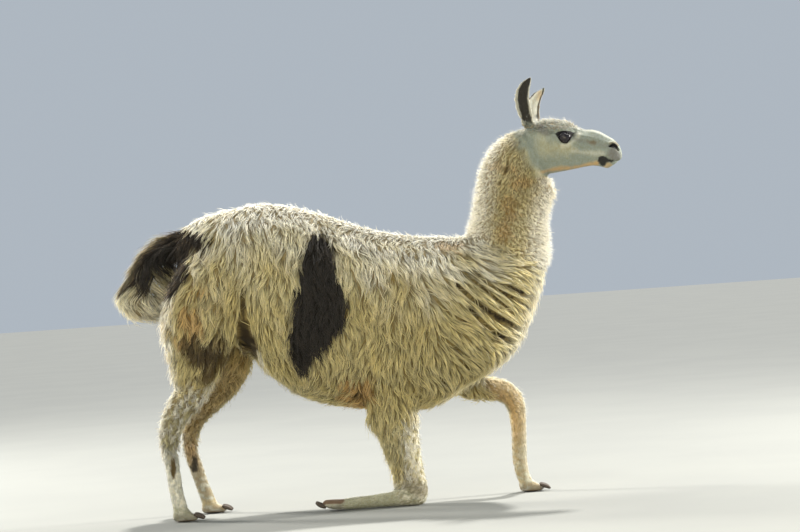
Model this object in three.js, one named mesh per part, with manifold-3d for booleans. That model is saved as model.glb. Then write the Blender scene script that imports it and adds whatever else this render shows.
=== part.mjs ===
// A life-size llama getting up from rest: right knee and cannon on the ground, left foreleg stepping forward,
// both hind legs standing. Millimetres, +X towards the head, +Y the animal's left, +Z up.
// The origin is on the ground, under the middle of the bounding box.
import * as THREE from "three";
import { mergeVertices } from "three/addons/utils/BufferGeometryUtils.js";
import Module from "manifold-3d";

const wasm = await Module();
wasm.setup();

// ---- driving dimensions -------------------------------------------------------------------------------------
const RIGHT = -1;
const LEFT = 1;
const GAP = 0.4; // clear space between neighbouring pieces

const HEAD_YAW = THREE.MathUtils.degToRad(-12); // the head looks a little to the animal's right
const HEAD_PIVOT = new THREE.Vector3(560, 0, 1170);
const EYE_RADIUS = 22;
const EYE_FORWARD = 131; // from the head's pivot
const EYE_HALF_SPACING = 60;
const EYE_HEIGHT = 1198;
const EYE_SEGMENTS = 12;

const EAR_BASE = 1240;
const EAR_TIP = 1411;
const EAR_HALF_SPACING = 46;
const EAR_WALL = 5;
const EAR_RIGHT = { lean: 14, forward: 0, drop: 0 }; // pricked
const EAR_LEFT = { lean: 52, forward: 20, drop: 30 }; // tipped out and forward

const FORE_HALF_TRACK = 95; // from the midline to a forefoot
const HIND_HALF_TRACK = 112; // from the midline to a hind foot
const TOE_SPREAD = 17; // from the foot's own midline to a toe's

// Heights and planes where the body is parted.
const THIGH = { back: -790, front: -412, foot: 500, shoulder: 740, top: 935, inner: 32 };
const HOCK_CUT = 262;
const FETLOCK_CUT = 52;
const LEG_INNER = 5;
const LEG_OUTER = 260;

const finish = (color, roughness) => new THREE.MeshStandardMaterial({ color, roughness, metalness: 0 });
const WOOL = finish(0xd9cfae, 0.95);
const SHORT_HAIR = finish(0xd8d2c2, 0.9);
const DARK_WOOL = finish(0x3a2f2b, 0.95);
const NAIL = finish(0x37302c, 0.5);
const EYE = finish(0x0d0b0c, 0.08);

// ---- shapes -------------------------------------------------------------------------------------------------
const splineOf = (points) => new THREE.CatmullRomCurve3(points, false, "catmullrom", 0.5);

// A closed skin over a row of sections. A section is { at: [x, y, z], wide, up, down }: its centre, its half width
// across, and its half sizes on the two sides of the centre. "up" lies along tangent x +Y, so it is the top of what
// runs forward, the front of what runs down and the back of what runs up. With level true, every section stands
// square to the X axis. square is the sections' exponent: 2 is an ellipse, and more is boxier.
function loft(sections, { steps = 1, sides = 12, level = false, square = 2.15 } = {}) {
  const centres = splineOf(sections.map((s) => new THREE.Vector3(...s.at)));
  const sizes = splineOf(sections.map((s) => new THREE.Vector3(s.wide, s.up, s.down)));
  const geometry = new THREE.CylinderGeometry(1, 1, 1, sides, (sections.length - 1) * steps);
  const position = geometry.getAttribute("position");
  const bulge = (value) => Math.sign(value) * Math.abs(value) ** (2 / square);
  const forward = new THREE.Vector3(1, 0, 0);
  const upward = new THREE.Vector3();
  const across = new THREE.Vector3();
  for (let i = 0; i < position.count; i++) {
    const t = THREE.MathUtils.clamp(position.getY(i) + 0.5, 0, 1);
    const tangent = level ? forward : centres.getTangent(t);
    upward.crossVectors(tangent, new THREE.Vector3(0, 1, 0)).normalize();
    across.crossVectors(upward, tangent);
    const size = sizes.getPoint(t);
    const rise = -bulge(position.getZ(i));
    const point = centres
      .getPoint(t)
      .addScaledVector(across, bulge(position.getX(i)) * size.x)
      .addScaledVector(upward, rise * (rise > 0 ? size.y : size.z));
    position.setXYZ(i, point.x, point.y, point.z);
  }
  return geometry;
}

// A leaf-shaped shell that stands up and opens towards +Y. A section is { at, wide, curl }: the middle of its back
// wall, its half width along X, and how far its rims bend towards the opening.
function leaf(sections, { wall, steps = 1, sides = 10 }) {
  const centres = splineOf(sections.map((s) => new THREE.Vector3(...s.at)));
  const sizes = splineOf(sections.map((s) => new THREE.Vector3(s.wide, s.curl, 0)));
  const geometry = new THREE.CylinderGeometry(1, 1, 1, sides, (sections.length - 1) * steps);
  const position = geometry.getAttribute("position");
  for (let i = 0; i < position.count; i++) {
    const t = THREE.MathUtils.clamp(position.getY(i) + 0.5, 0, 1);
    const centre = centres.getPoint(t);
    const size = sizes.getPoint(t);
    const share = position.getX(i); // -1 and 1 are the two rims
    const face = -position.getZ(i) * (wall / 2); // the inner face, then the outer one
    position.setXYZ(i, centre.x + size.x * share, centre.y + size.y * share ** 2 + face, centre.z);
  }
  return geometry;
}

function ellipsoid([x, y, z], [rx, ry, rz], segments) {
  return new THREE.SphereGeometry(1, segments, Math.round(segments * 0.7)).scale(rx, ry, rz).translate(x, y, z);
}

// A box given by its lowest and highest corners, grown on every side.
function block([x0, y0, z0], [x1, y1, z1], grow = 0) {
  const size = [x1 - x0, y1 - y0, z1 - z0].map((s) => s + 2 * grow);
  return new THREE.BoxGeometry(...size).translate((x0 + x1) / 2, (y0 + y1) / 2, (z0 + z1) / 2);
}

// A large box with one face on the line between two points [x, z], on the left of the way from the first to the
// second, grown across that line.
function beyond([xa, za], [xb, zb], grow, reach = 900) {
  return new THREE.BoxGeometry(reach, reach, reach)
    .translate(0, 0, reach / 2 - grow)
    .rotateY(-Math.atan2(zb - za, xb - xa))
    .translate((xa + xb) / 2, 0, (za + zb) / 2);
}

// ---- solids -------------------------------------------------------------------------------------------------
function solid(geometry) {
  const bare = geometry.index ? geometry.toNonIndexed() : geometry.clone();
  bare.deleteAttribute("normal");
  bare.deleteAttribute("uv");
  const merged = mergeVertices(bare, 1e-3);
  const vertProperties = merged.getAttribute("position").array;
  return new wasm.Manifold(new wasm.Mesh({ numProp: 3, vertProperties, triVerts: new Uint32Array(merged.index.array) }));
}

function geometryOf(made) {
  const { vertProperties, triVerts } = made.getMesh();
  return new THREE.BufferGeometry()
    .setAttribute("position", new THREE.BufferAttribute(new Float32Array(vertProperties), 3))
    .setIndex(new THREE.BufferAttribute(new Uint32Array(triVerts), 1));
}

const joined = (...geometries) => geometries.map(solid).reduce((a, b) => a.add(b));

// The same shape on the other side of the midline, its faces still pointing out.
function mirrored(geometry) {
  const index = Array.from(geometry.index.array);
  for (let i = 0; i < index.length; i += 3) [index[i + 1], index[i + 2]] = [index[i + 2], index[i + 1]];
  return geometry.clone().scale(1, -1, 1).setIndex(index);
}

// ---- trunk, neck and tail -----------------------------------------------------------------------------------
// Sections square to X, from rows of x, top, bottom, half width and the height of the widest level.
const uprightSections = (rows) =>
  rows.map(([x, top, bottom, wide, widest]) => ({ at: [x, 0, widest], wide, up: top - widest, down: widest - bottom }));

function trunkShape() {
  const rows = [
    [-668, 925, 770, 40, 850],
    [-640, 992, 695, 105, 838],
    [-560, 1028, 605, 163, 803],
    [-470, 1046, 560, 193, 772],
    [-375, 1060, 462, 220, 720],
    [-270, 1045, 378, 246, 684],
    [-160, 1010, 340, 253, 656],
    [-40, 962, 319, 240, 638],
    [80, 925, 306, 227, 626],
    [190, 911, 312, 220, 630],
    [300, 898, 378, 208, 650],
    [400, 877, 424, 184, 670],
    [480, 838, 500, 146, 680],
    [530, 790, 585, 100, 691],
    [555, 750, 650, 58, 700],
  ];
  return loft(uprightSections(rows), { steps: 2, sides: 18, level: true });
}

function neckShape() {
  // x, z, half width, front, back
  const rows = [
    [392, 560, 95, 90, 80],
    [412, 650, 160, 130, 140],
    [440, 755, 166, 150, 157],
    [462, 850, 132, 152, 150],
    [480, 950, 101, 134, 134],
    [494, 1035, 89, 148, 132],
    [519, 1107, 80, 146, 127],
    [562, 1156, 67, 96, 106],
    [610, 1172, 40, 50, 50],
  ];
  const sections = rows.map(([x, z, wide, front, back]) => ({ at: [x, 0, z], wide, up: back, down: front }));
  return loft(sections, { steps: 2, sides: 16 });
}

// The tail is carried in an arch: it runs back, then down, so "up" is its underside and "down" its top.
function tailShape(grow = 0) {
  // x, z, half width, underside, top
  const rows = [
    [-600, 935, 30, 30, 42],
    [-650, 938, 48, 50, 56],
    [-722, 903, 62, 53, 60],
    [-775, 846, 69, 61, 63],
    [-801, 768, 70, 64, 67],
    [-799, 714, 58, 58, 56],
    [-791, 682, 38, 40, 36],
    [-786, 664 - grow, 14, 16, 14],
  ];
  const sections = rows.map(([x, z, wide, up, down]) => ({
    at: [x, 0, z],
    wide: wide + grow,
    up: up + grow,
    down: down + grow,
  }));
  return loft(sections, { steps: 2 });
}

// ---- head, in its own frame: it faces straight ahead until it is turned about its pivot ----------------------
const headTurn = new THREE.Matrix4().makeRotationZ(HEAD_YAW).setPosition(HEAD_PIVOT);
headTurn.multiply(new THREE.Matrix4().makeTranslation(...HEAD_PIVOT.clone().negate().toArray()));
const turned = (geometry) => geometry.applyMatrix4(headTurn);

function headShape() {
  const stretch = 1 / Math.cos(HEAD_YAW); // keeps the length of the profile once the head is turned
  const rows = [
    [540, 1225, 1098, 36, 1165],
    [565, 1256, 1079, 60, 1173],
    [606, 1273, 1078, 71, 1184],
    [655, 1270, 1083, 76, 1194],
    [700, 1257, 1088, 73, 1194],
    [734, 1231, 1093, 59, 1180],
    [772, 1223, 1096, 48, 1162],
    [800, 1212, 1089, 43, 1150],
    [818, 1200, 1084, 41, 1143],
    [840, 1185, 1096, 37, 1139],
    [855, 1169, 1106, 29, 1137],
    [864, 1151, 1113, 18, 1133],
    [867, 1137, 1121, 8, 1130],
  ];
  const lengthened = rows.map(([x, ...sizes]) => [HEAD_PIVOT.x + (x - HEAD_PIVOT.x) * stretch, ...sizes]);
  const skull = loft(uprightSections(lengthened), { steps: 2, sides: 12, level: true });
  const both = (shapeOf) => [LEFT, RIGHT].map(shapeOf);
  const earRoots = both((side) => ellipsoid([576, side * (EAR_HALF_SPACING + 2), EAR_BASE - 4], [25, 18, 32], 8));
  const brows = both((side) => ellipsoid([684, side * 46, 1206], [46, 29, 32], 8));
  const cheeks = both((side) => ellipsoid([648, side * 28, 1141], [62, 29, 48], 8));
  return geometryOf(joined(skull, ...brows, ...cheeks, ...earRoots));
}

// The ear of the left side. Its tip stands out by lean, forward of its root by forward, and lower by drop.
function earShape({ lean, forward, drop }) {
  // x, height, half width and curl of the pricked ear
  const rows = [
    [573, EAR_BASE, 19, 14],
    [568, 1272, 23.5, 22],
    [561, 1305, 25, 25],
    [558, 1340, 25, 22],
    [563, 1370, 23.5, 16],
    [575, 1394, 18, 9],
    [585, 1406, 9.5, 3],
    [590, EAR_TIP, 3, 1],
  ];
  const sections = rows.map(([x, z, wide, curl]) => {
    const rise = (z - EAR_BASE) / (EAR_TIP - EAR_BASE);
    const out = EAR_HALF_SPACING + lean * Math.sin((rise * Math.PI) / 2);
    return { at: [x + forward * rise ** 2, out, z - drop * rise], wide, curl };
  });
  return leaf(sections, { wall: EAR_WALL });
}

// ---- legs ---------------------------------------------------------------------------------------------------
// Sections of a leg from its top to its foot, from rows of x, z, outward shift, half width, front and back. Where the
// leg turns level, front is what was the front of the standing leg.
const legSections = (side, track, rows) =>
  rows.map(([x, z, out, wide, up, down]) => ({ at: [x, side * (track + out), z], wide, up, down }));

function rightHindLeg() {
  const rows = [
    [-560, 880, -22, 50, 70, 60],
    [-572, 820, -3, 80, 116, 95],
    [-588, 730, 5, 96, 146, 120],
    [-596, 640, 6, 92, 138, 136],
    [-600, 560, 4, 80, 115, 122],
    [-612, 490, 0, 66, 84, 95],
    [-634, 424, 0, 52, 63, 66],
    [-683, 365, 0, 43, 54, 60],
    [-711, 310, 0, 38, 44, 50],
    [-720, 245, 0, 31, 37, 41],
    [-715, 185, 0, 25, 28, 28],
    [-709, 105, 0, 25, 26, 26],
    [-702, 60, 0, 28, 29, 27],
    [-697, 34, 0, 27, 28, 26],
  ];
  return loft(legSections(RIGHT, HIND_HALF_TRACK, rows));
}

function leftHindLeg() {
  const rows = [
    [-545, 880, -22, 50, 70, 60],
    [-551, 820, -3, 80, 116, 100],
    [-557, 730, 5, 96, 143, 130],
    [-551, 640, 6, 92, 142, 138],
    [-532, 560, 4, 78, 118, 122],
    [-521, 492, 0, 64, 86, 97],
    [-549, 424, 0, 51, 58, 68],
    [-615, 368, 0, 43, 50, 58],
    [-658, 315, 0, 38, 44, 48],
    [-673, 247, 0, 31, 34, 39],
    [-664, 188, 0, 25, 28, 28],
    [-641, 104, 0, 25, 26, 26],
    [-628, 60, 0, 28, 28, 27],
    [-619, 34, 0, 27, 28, 26],
  ];
  return loft(legSections(LEFT, HIND_HALF_TRACK, rows));
}

function rightForearm() {
  const rows = [
    [20, 470, 5, 60, 70, 70],
    [24, 400, 0, 68, 89, 88],
    [28, 310, 0, 64, 93, 92],
    [45, 240, 0, 54, 78, 74],
    [64, 150, 0, 43, 63, 66],
    [75, 100, 0, 40, 57, 63],
    [88, 58, 0, 39, 52, 50],
    [92, 32, 0, 37, 47, 43],
    [90, 6, 0, 33, 36, 38],
    [88, -14, 0, 22, 22, 26],
  ];
  return loft(legSections(RIGHT, FORE_HALF_TRACK, rows));
}

// The folded cannon lies on the ground and points back, so its front is underneath.
function rightForeCannon() {
  const rows = [
    [112, 28, 0, 20, 20, 18],
    [84, 27, 0, 33, 30, 26],
    [20, 26, 0, 29, 29, 27],
    [-60, 24, 0, 25, 27, 23],
    [-130, 22, 0, 28, 25, 21],
    [-168, 20, 0, 27, 22, 18],
  ];
  return loft(legSections(RIGHT, FORE_HALF_TRACK, rows), { sides: 10 });
}

function leftForeleg() {
  const rows = [
    [205, 440, -12, 58, 60, 60],
    [262, 398, -6, 58, 62, 58],
    [320, 366, 0, 50, 50, 47],
    [374, 362, 0, 42, 46, 44],
    [420, 352, 0, 39, 45, 43],
    [450, 322, 0, 40, 42, 38],
    [461, 282, 0, 38, 34, 32],
    [461, 232, 0, 31, 30, 29],
    [460, 150, 0, 26, 29, 29],
    [459, 98, 0, 28, 27, 28],
    [463, 64, 0, 30, 26, 27],
    [474, 36, 0, 27, 26, 25],
  ];
  return loft(legSections(LEFT, FORE_HALF_TRACK, rows));
}

// ---- feet ---------------------------------------------------------------------------------------------------
// A toe or nail in the foot's own frame: sole at z = 0, toes towards +X, the cannon over x = 0. Rows are x, z, spread
// as a share of the toes' own, half width, top and bottom.
function toePiece(side, rows, { grow = 0, sides }) {
  const last = rows.length - 1;
  const sections = rows.map(([x, z, spread, wide, up, down], i) => ({
    at: [x + (i === last ? grow : i === 0 ? -grow : 0), side * TOE_SPREAD * spread, z],
    wide: wide + grow,
    up: up + grow,
    down: down + grow,
  }));
  return loft(sections, { sides });
}

const TOE_ROWS = [
  [-34, 14, 0.8, 9, 9, 13],
  [-20, 17, 0.9, 17, 17, 22],
  [12, 18, 1, 18.5, 19, 24],
  [46, 15, 1.07, 15.5, 12, 20],
  [63, 10, 1.1, 6, 5, 9],
];
const NAIL_ROWS = [
  [41, 24, 1.05, 6, 4, 4],
  [51, 21, 1.08, 10.5, 7, 9],
  [64, 16, 1.08, 9.5, 7, 8],
  [76, 8, 1, 4, 3.5, 4],
];

// Every foot is the same one, set down on its sole, or turned over at the end of the folded foreleg.
const FEET = [
  { leg: "foreleg_left", at: [480, FORE_HALF_TRACK, 0], turnedOver: 0 },
  { leg: "hindleg_right", at: [-694, -HIND_HALF_TRACK, 0], turnedOver: 0 },
  { leg: "hindleg_left", at: [-616, HIND_HALF_TRACK, 0], turnedOver: 0 },
  { leg: "foreleg_right", at: [-168, -FORE_HALF_TRACK, 35], turnedOver: THREE.MathUtils.degToRad(184) },
];

function toesOf({ at, turnedOver }, rows, options) {
  const place = new THREE.Matrix4().makeRotationY(turnedOver).setPosition(...at);
  return [LEFT, RIGHT].map((side) => toePiece(side, rows, options).applyMatrix4(place));
}

// ---- assembling and parting ---------------------------------------------------------------------------------
const llama = new THREE.Group();

function addMesh(name, geometry, material, parent = llama) {
  const mesh = new THREE.Mesh(geometry, material);
  mesh.name = name;
  parent.add(mesh);
  return mesh;
}

const eyePlace = (side) => [HEAD_PIVOT.x + EYE_FORWARD, side * EYE_HALF_SPACING, EYE_HEIGHT];
const eyeball = (centre, grow = 0) => ellipsoid(centre, Array(3).fill(EYE_RADIUS + grow), EYE_SEGMENTS);
const ground = solid(block([-1500, -600, -400], [1500, 600, 0]));

let body = joined(
  trunkShape(),
  neckShape(),
  turned(headShape()),
  turned(earShape(EAR_LEFT)),
  turned(mirrored(earShape(EAR_RIGHT))),
  rightHindLeg(),
  leftHindLeg(),
  rightForearm(),
  rightForeCannon(),
  leftForeleg(),
  ...FEET.flatMap((foot) => toesOf(foot, TOE_ROWS, { sides: 8 })),
).subtract(ground);

// Eyes sit in sockets of their own shape, inside a group that is turned with the head.
const headGroup = new THREE.Group();
headGroup.position.copy(HEAD_PIVOT);
headGroup.rotation.z = HEAD_YAW;
llama.add(headGroup);
for (const [side, name] of [
  [LEFT, "eye_left"],
  [RIGHT, "eye_right"],
]) {
  const place = eyePlace(side);
  body = body.subtract(solid(turned(eyeball(place, GAP))));
  addMesh(name, eyeball([0, 0, 0]), EYE, headGroup).position.fromArray(place).sub(HEAD_PIVOT);
}

// Each toe has a nail, in a bed of the nail's own shape.
for (const foot of FEET) {
  const beds = toesOf(foot, NAIL_ROWS, { sides: 6, grow: GAP });
  toesOf(foot, NAIL_ROWS, { sides: 6 }).forEach((nail, i) => {
    body = body.subtract(solid(beds[i]));
    addMesh(`${foot.leg}_nail_${i ? "right" : "left"}`, geometryOf(solid(nail).subtract(ground)), NAIL);
  });
}

// The tail leaves the rump at a slanted cut, and lies in a bed of its own shape behind it.
const behindRump = (grow) => solid(beyond([-690, 850], [-624, 1030], grow));
addMesh("tail", geometryOf(solid(tailShape()).intersect(behindRump(0))), DARK_WOOL);
body = body.subtract(solid(tailShape(GAP)).intersect(behindRump(GAP)));

// Takes the part of the body inside a cutter away as a piece of its own. cutterOf(grow) gives the cutter, grown.
function part(name, material, cutterOf) {
  addMesh(name, geometryOf(body.intersect(solid(cutterOf(0)))), material);
  body = body.subtract(solid(cutterOf(GAP)));
}

// An upright slab with a round top that takes a thigh off the side of the body.
function thighCutter(side, grow) {
  const { back, front, foot, shoulder, top, inner } = THIGH;
  const outline = new THREE.Shape();
  outline.moveTo(back - grow, foot - grow);
  outline.lineTo(front + grow, foot - grow);
  outline.lineTo(front + grow, shoulder);
  outline.absellipse((back + front) / 2, shoulder, (front - back) / 2 + grow, top - shoulder + grow, 0, Math.PI);
  outline.closePath();
  const depth = LEG_OUTER + grow;
  const slab = new THREE.ExtrudeGeometry(outline, { depth, bevelEnabled: false, curveSegments: 8 });
  slab.rotateX(Math.PI / 2); // the outline now stands in the XZ plane, with its thickness along -Y
  return slab.translate(0, side === LEFT ? inner - grow + depth : grow - inner, 0);
}

function legCutter(side, [back, bottom], [front, top], grow) {
  const [inside, outside] = [LEG_INNER, LEG_OUTER].map((out) => side * out);
  return block([back, Math.min(inside, outside), bottom], [front, Math.max(inside, outside), top], grow);
}

const earCutter = (side, grow) => {
  const [inside, outside] = [20, 160].map((out) => side * out);
  return turned(block([500, Math.min(inside, outside), 1276], [650, Math.max(inside, outside), 1440], grow));
};

part("ear_right", SHORT_HAIR, (grow) => earCutter(RIGHT, grow));
part("ear_left", SHORT_HAIR, (grow) => earCutter(LEFT, grow));
part("head", SHORT_HAIR, (grow) => beyond([520, 1240], [640, 1070], grow));
part("neck", WOOL, (grow) => beyond([300, 908], [600, 760], grow));
part("hindleg_right_thigh", WOOL, (grow) => thighCutter(RIGHT, grow));
part("hindleg_left_thigh", WOOL, (grow) => thighCutter(LEFT, grow));

const legParts = [
  ["hindleg_right_foot", RIGHT, [-800, -20], [-560, FETLOCK_CUT]],
  ["hindleg_right_cannon", RIGHT, [-800, 40], [-600, HOCK_CUT]],
  ["hindleg_right_shank", RIGHT, [-820, 250], [-416, THIGH.foot - 2 * GAP]],
  ["hindleg_left_foot", LEFT, [-720, -20], [-480, FETLOCK_CUT]],
  ["hindleg_left_cannon", LEFT, [-760, 40], [-540, HOCK_CUT]],
  ["hindleg_left_shank", LEFT, [-780, 250], [-416, THIGH.foot - 2 * GAP]],
  ["foreleg_right_foot", RIGHT, [-300, -20], [-146, 80]],
  ["foreleg_right_cannon", RIGHT, [-150, -20], [200, 76]],
  ["foreleg_right_forearm", RIGHT, [-120, 70], [160, 299]],
  ["foreleg_left_foot", LEFT, [380, -20], [640, FETLOCK_CUT]],
  ["foreleg_left_cannon", LEFT, [380, 40], [560, 276]],
  ["foreleg_left_forearm", LEFT, [362, 250], [600, 404]],
];
for (const [name, side, low, high] of legParts) {
  part(name, name.endsWith("foot") ? SHORT_HAIR : WOOL, (grow) => legCutter(side, low, high, grow));
}

addMesh("trunk", geometryOf(body), WOOL);

export default llama;
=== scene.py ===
import functools
import math
from collections import namedtuple

import bmesh
import bpy
import numpy as np
from bpy.props import FloatProperty, FloatVectorProperty, PointerProperty
from mathutils import Matrix, Vector
from mathutils.bvhtree import BVHTree
from mathutils.kdtree import KDTree


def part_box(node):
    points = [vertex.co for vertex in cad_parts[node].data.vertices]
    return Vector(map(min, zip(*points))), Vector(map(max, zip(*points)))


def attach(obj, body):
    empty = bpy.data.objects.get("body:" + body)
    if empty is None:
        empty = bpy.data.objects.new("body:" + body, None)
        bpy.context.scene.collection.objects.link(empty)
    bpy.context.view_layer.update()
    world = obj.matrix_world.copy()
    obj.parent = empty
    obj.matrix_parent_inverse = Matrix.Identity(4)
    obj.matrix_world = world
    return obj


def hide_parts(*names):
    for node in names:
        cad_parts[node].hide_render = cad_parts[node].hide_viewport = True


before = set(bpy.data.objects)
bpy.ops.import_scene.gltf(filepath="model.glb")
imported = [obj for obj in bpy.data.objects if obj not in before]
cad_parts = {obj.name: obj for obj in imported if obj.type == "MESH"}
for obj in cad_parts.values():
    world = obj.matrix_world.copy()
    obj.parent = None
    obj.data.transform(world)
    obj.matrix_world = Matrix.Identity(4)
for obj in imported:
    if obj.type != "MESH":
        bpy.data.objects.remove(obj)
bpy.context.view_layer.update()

bl_info = {
    "name": "Llama",
    "version": (1, 0, 0),
    "blender": (4, 5, 0),
    "location": "3D View > Sidebar > Llama",
    "description": "Builds the skin, coat, eyes and toenails of a life-size llama around its packed frame",
    "category": "Object",
}

MM = 0.001  # sizes in this file are in millimetres; meshes, settings and the stage are in metres
SIDES = {"right": -1, "left": 1}  # of the animal, along Y
LEGS = ("hindleg_right", "hindleg_left", "foreleg_right", "foreleg_left")
FLESH = (
    "trunk", "neck", "tail", "head", "ear_left", "ear_right",
    *(f"{leg}_{part}" for leg in LEGS[:2] for part in ("thigh", "shank", "cannon", "foot")),
    *(f"{leg}_{part}" for leg in LEGS[2:] for part in ("forearm", "cannon", "foot")),
)
PART = {name: number for number, name in enumerate(FLESH)}
MERGE = 1e-5  # points of a CAD mesh this near to each other, in metres, are one
SWELL = 0.8  # the flesh nodes are swollen this much while the skin is made, so that they overlap
EAR_SWELL = 1.7  # and the ears' thin edges this much more
SKIN_LOW, TUFT_LOW = 0.4, 0.3  # how far above the floor the skin and the tufts end
PATCH = 0.003  # each tuft's patch of the OFBake map
TRIANGLE_LIMIT = 200_000  # of one piece
COMB_STEPS = 7  # the line of each lock has this many stretches
SEEN_AT = 0.45  # tufts take their tones from this far along their lock

# ---- sizes of the head, in its own frame, where it faces straight ahead ----
HEAD_YAW = math.radians(-12)
HEAD_PIVOT = np.array([560.0, 0.0, 1170.0])
EYE_CENTRE = np.array([691.0, 58.0, 1198.0])
EYE_RADIUS = 22.0
LID_RADIUS = 24.2
# The gap between the lids, and the black skin round it (partly painted shade under the upper lid), as seen from
# the side, from the eye's middle.
LID_GAP = (
    (-17, 8), (-9, 12), (3, 13.5), (13, 11.5), (20, 7), (23, 3),
    (18, -7), (11, -13.5), (1, -17), (-8, -12), (-14, -3),
)
LID_BLACK = (
    (-38, 19), (-29, 16), (-20, 20.5), (-5, 22.5), (7, 22.5), (21, 19.5), (30, 14.5), (37, 7.5),
    (25, 0), (21, -9), (12, -18), (0, -20.5), (-11, -13.5), (-20, -3), (-29, 12),
)
NOSTRIL = ((837, 35, 1158), (846, 31, 1162), (855, 27, 1160), (862, 24, 1151), (865, 22, 1144))
MOUTH = (
    (796, 36, 1116), (804, 39, 1124), (814, 39, 1125), (824, 38, 1122),
    (834, 35, 1114), (847, 24, 1108), (857, 9, 1105.5), (860, 0, 1105),
)
LIP_CLEFT = ((868, 0, 1134), (867, 0, 1120), (861, 0, 1106))
# Ridges and hollows of both halves of the face: a line on the left half, how far the skin moves out along it,
# and how wide that is.
FACE_RELIEF = (
    (NOSTRIL, -10.5, 4.0),
    (np.array(NOSTRIL[:4]) + (-3, -3, 10), 2.6, 4.0),
    (np.array(NOSTRIL[:3]) + (-2, 2, -10), 1.8, 5.0),
    (MOUTH, -4.6, 1.7),
    (np.array(MOUTH[1:6]) + (0, 0, 5.0), 1.6, 3.0),
    (np.array(MOUTH[2:7]) + (-2, 0, -6.0), 1.5, 3.2),
    (LIP_CLEFT, -3.2, 1.7),
    (((868, 9, 1128), (864, 11, 1114)), 1.6, 5.0),
    (((722, 60, 1192), (752, 48, 1178), (790, 42, 1160)), -2.2, 8.0),
    (((700, 70, 1166), (740, 56, 1150), (770, 47, 1142)), 2.0, 8.0),
    (((640, 60, 1225), (676, 66, 1232), (706, 60, 1226)), 1.8, 7.0),
    (((646, 70, 1150), (628, 72, 1120), (640, 66, 1096)), 1.2, 12.0),
    (((660, 50, 1256), (654, 66, 1236)), -1.6, 8.0),
)
# The nape and the throat leave the face at this plane, which leans back with the jaw.
JAW_AT = np.array([600.0, 0.0, 1078.0])
JAW_NORMAL = np.array([0.903, 0.0, 0.43])

# ---- the coat: one row for each stretch of the body ----
# length and width are a tuft's, gap is the distance between tufts, and lock the one between locks. depth is how
# far the coat stands off the skin. gather is the share of the way that tufts close in on their lock. curl is the
# size of the waves, and turns their number. hang is 0 where hair follows the skin and 1 where it falls free.
# unruly is how much the locks' ways differ, and stray the share of tufts that leave their lock.
Coat = namedtuple("Coat", "length width gap depth lock gather curl turns hang unruly stray")
COLUMN = {field: number for number, field in enumerate(Coat._fields)}
COATS = {
    "flank": Coat(90, 3.8, 7.0, 20, 17, 0.86, 4.2, 1.5, 0.12, 0.24, 0.14),
    "chest": Coat(82, 4.0, 7.0, 21, 17, 0.92, 2.2, 1.3, 0.08, 0.15, 0.12),
    "belly": Coat(56, 3.1, 7.6, 14, 15, 0.74, 3.4, 1.3, 0.35, 0.25, 0.16),
    "back": Coat(50, 3.1, 6.4, 14, 13, 0.75, 3.4, 1.2, 0.0, 0.30, 0.24),
    "neck": Coat(17, 2.4, 4.15, 14, 8.0, 0.74, 2.9, 1.2, 0.0, 0.85, 0.32),
    "haunch": Coat(80, 3.6, 6.8, 19, 17, 0.86, 4.4, 1.6, 0.15, 0.27, 0.15),
    "gaskin": Coat(38, 3.0, 5.6, 14, 13, 0.92, 9.5, 2.2, 0.12, 0.50, 0.24),
    "forearm": Coat(20, 2.2, 4.9, 5.5, 8, 0.72, 3.4, 1.4, 0.06, 0.50, 0.22),
    "knee": Coat(58, 2.9, 5.6, 14, 13, 0.86, 3.6, 1.3, 0.25, 0.26, 0.16),
    "cannon": Coat(12, 1.5, 3.9, 2.4, 6, 0.5, 1.2, 1.0, 0.0, 0.24, 0.12),
    "foot": Coat(10, 1.3, 4.0, 2.5, 5, 0.3, 0.4, 1.0, 0.0, 0.12, 0.08),
    "tail": Coat(96, 3.2, 5.0, 27, 15, 0.70, 3.2, 1.2, 0.30, 0.24, 0.24),
    "crown": Coat(18, 1.8, 3.7, 7.5, 8, 0.75, 3.6, 1.4, 0.0, 0.90, 0.22),
    "face": Coat(9.0, 1.15, 2.6, 2.2, 4, 0.25, 0.3, 1.0, 0.0, 0.22, 0.06),
    "muzzle": Coat(4.0, 0.8, 2.5, 1.2, 4, 0.2, 0.1, 1.0, 0.0, 0.20, 0.05),
    "ear": Coat(8, 1.1, 2.9, 0.9, 4, 0.3, 0.4, 1.0, 0.0, 0.14, 0.06),
}
WIDE_PARTING = 12  # a parting that reaches further doesn't comb the coat past its ends
LONG_HAIR = 12  # on the head and neck, longer hair is in the neck's pieces and shorter in the head's
COAT_OF_PART = {
    "trunk": "flank",
    "neck": "neck",
    "tail": "tail",
    "head": "face",
    "ear_left": "ear",
    "ear_right": "ear",
    "thigh": "haunch",
    "shank": "gaskin",
    "cannon": "cannon",
    "foot": "foot",
    "foreleg_right_forearm": "knee",
    "foreleg_left_forearm": "forearm",
}
# The way the hair lies on each limb, forwards, to the left and up.
LIE_OF_PART = {
    "hindleg_right_thigh": (-0.22, 0, -1),
    "hindleg_left_thigh": (-0.1, 0, -1),
    "hindleg_right_shank": (-0.45, 0, -0.9),
    "hindleg_left_shank": (-0.3, 0, -0.95),
    "hindleg_right_cannon": (0.05, 0, -1),
    "hindleg_left_cannon": (0.2, 0, -1),
    "hindleg_right_foot": (0.5, 0, -0.8),
    "hindleg_left_foot": (0.5, 0, -0.8),
    "foreleg_right_forearm": (-0.1, 0, -1),
    "foreleg_right_cannon": (-1, 0, -0.05),
    "foreleg_right_foot": (-1, 0, 0),
    "foreleg_left_forearm": (0.7, 0, -0.7),
    "foreleg_left_cannon": (0.05, 0, -1),
    "foreleg_left_foot": (0.6, 0, -0.7),
}
TAIL_LINE = (
    (-600, 935), (-650, 938), (-722, 903), (-775, 846), (-801, 768), (-799, 714), (-791, 682), (-786, 664),
)

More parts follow.
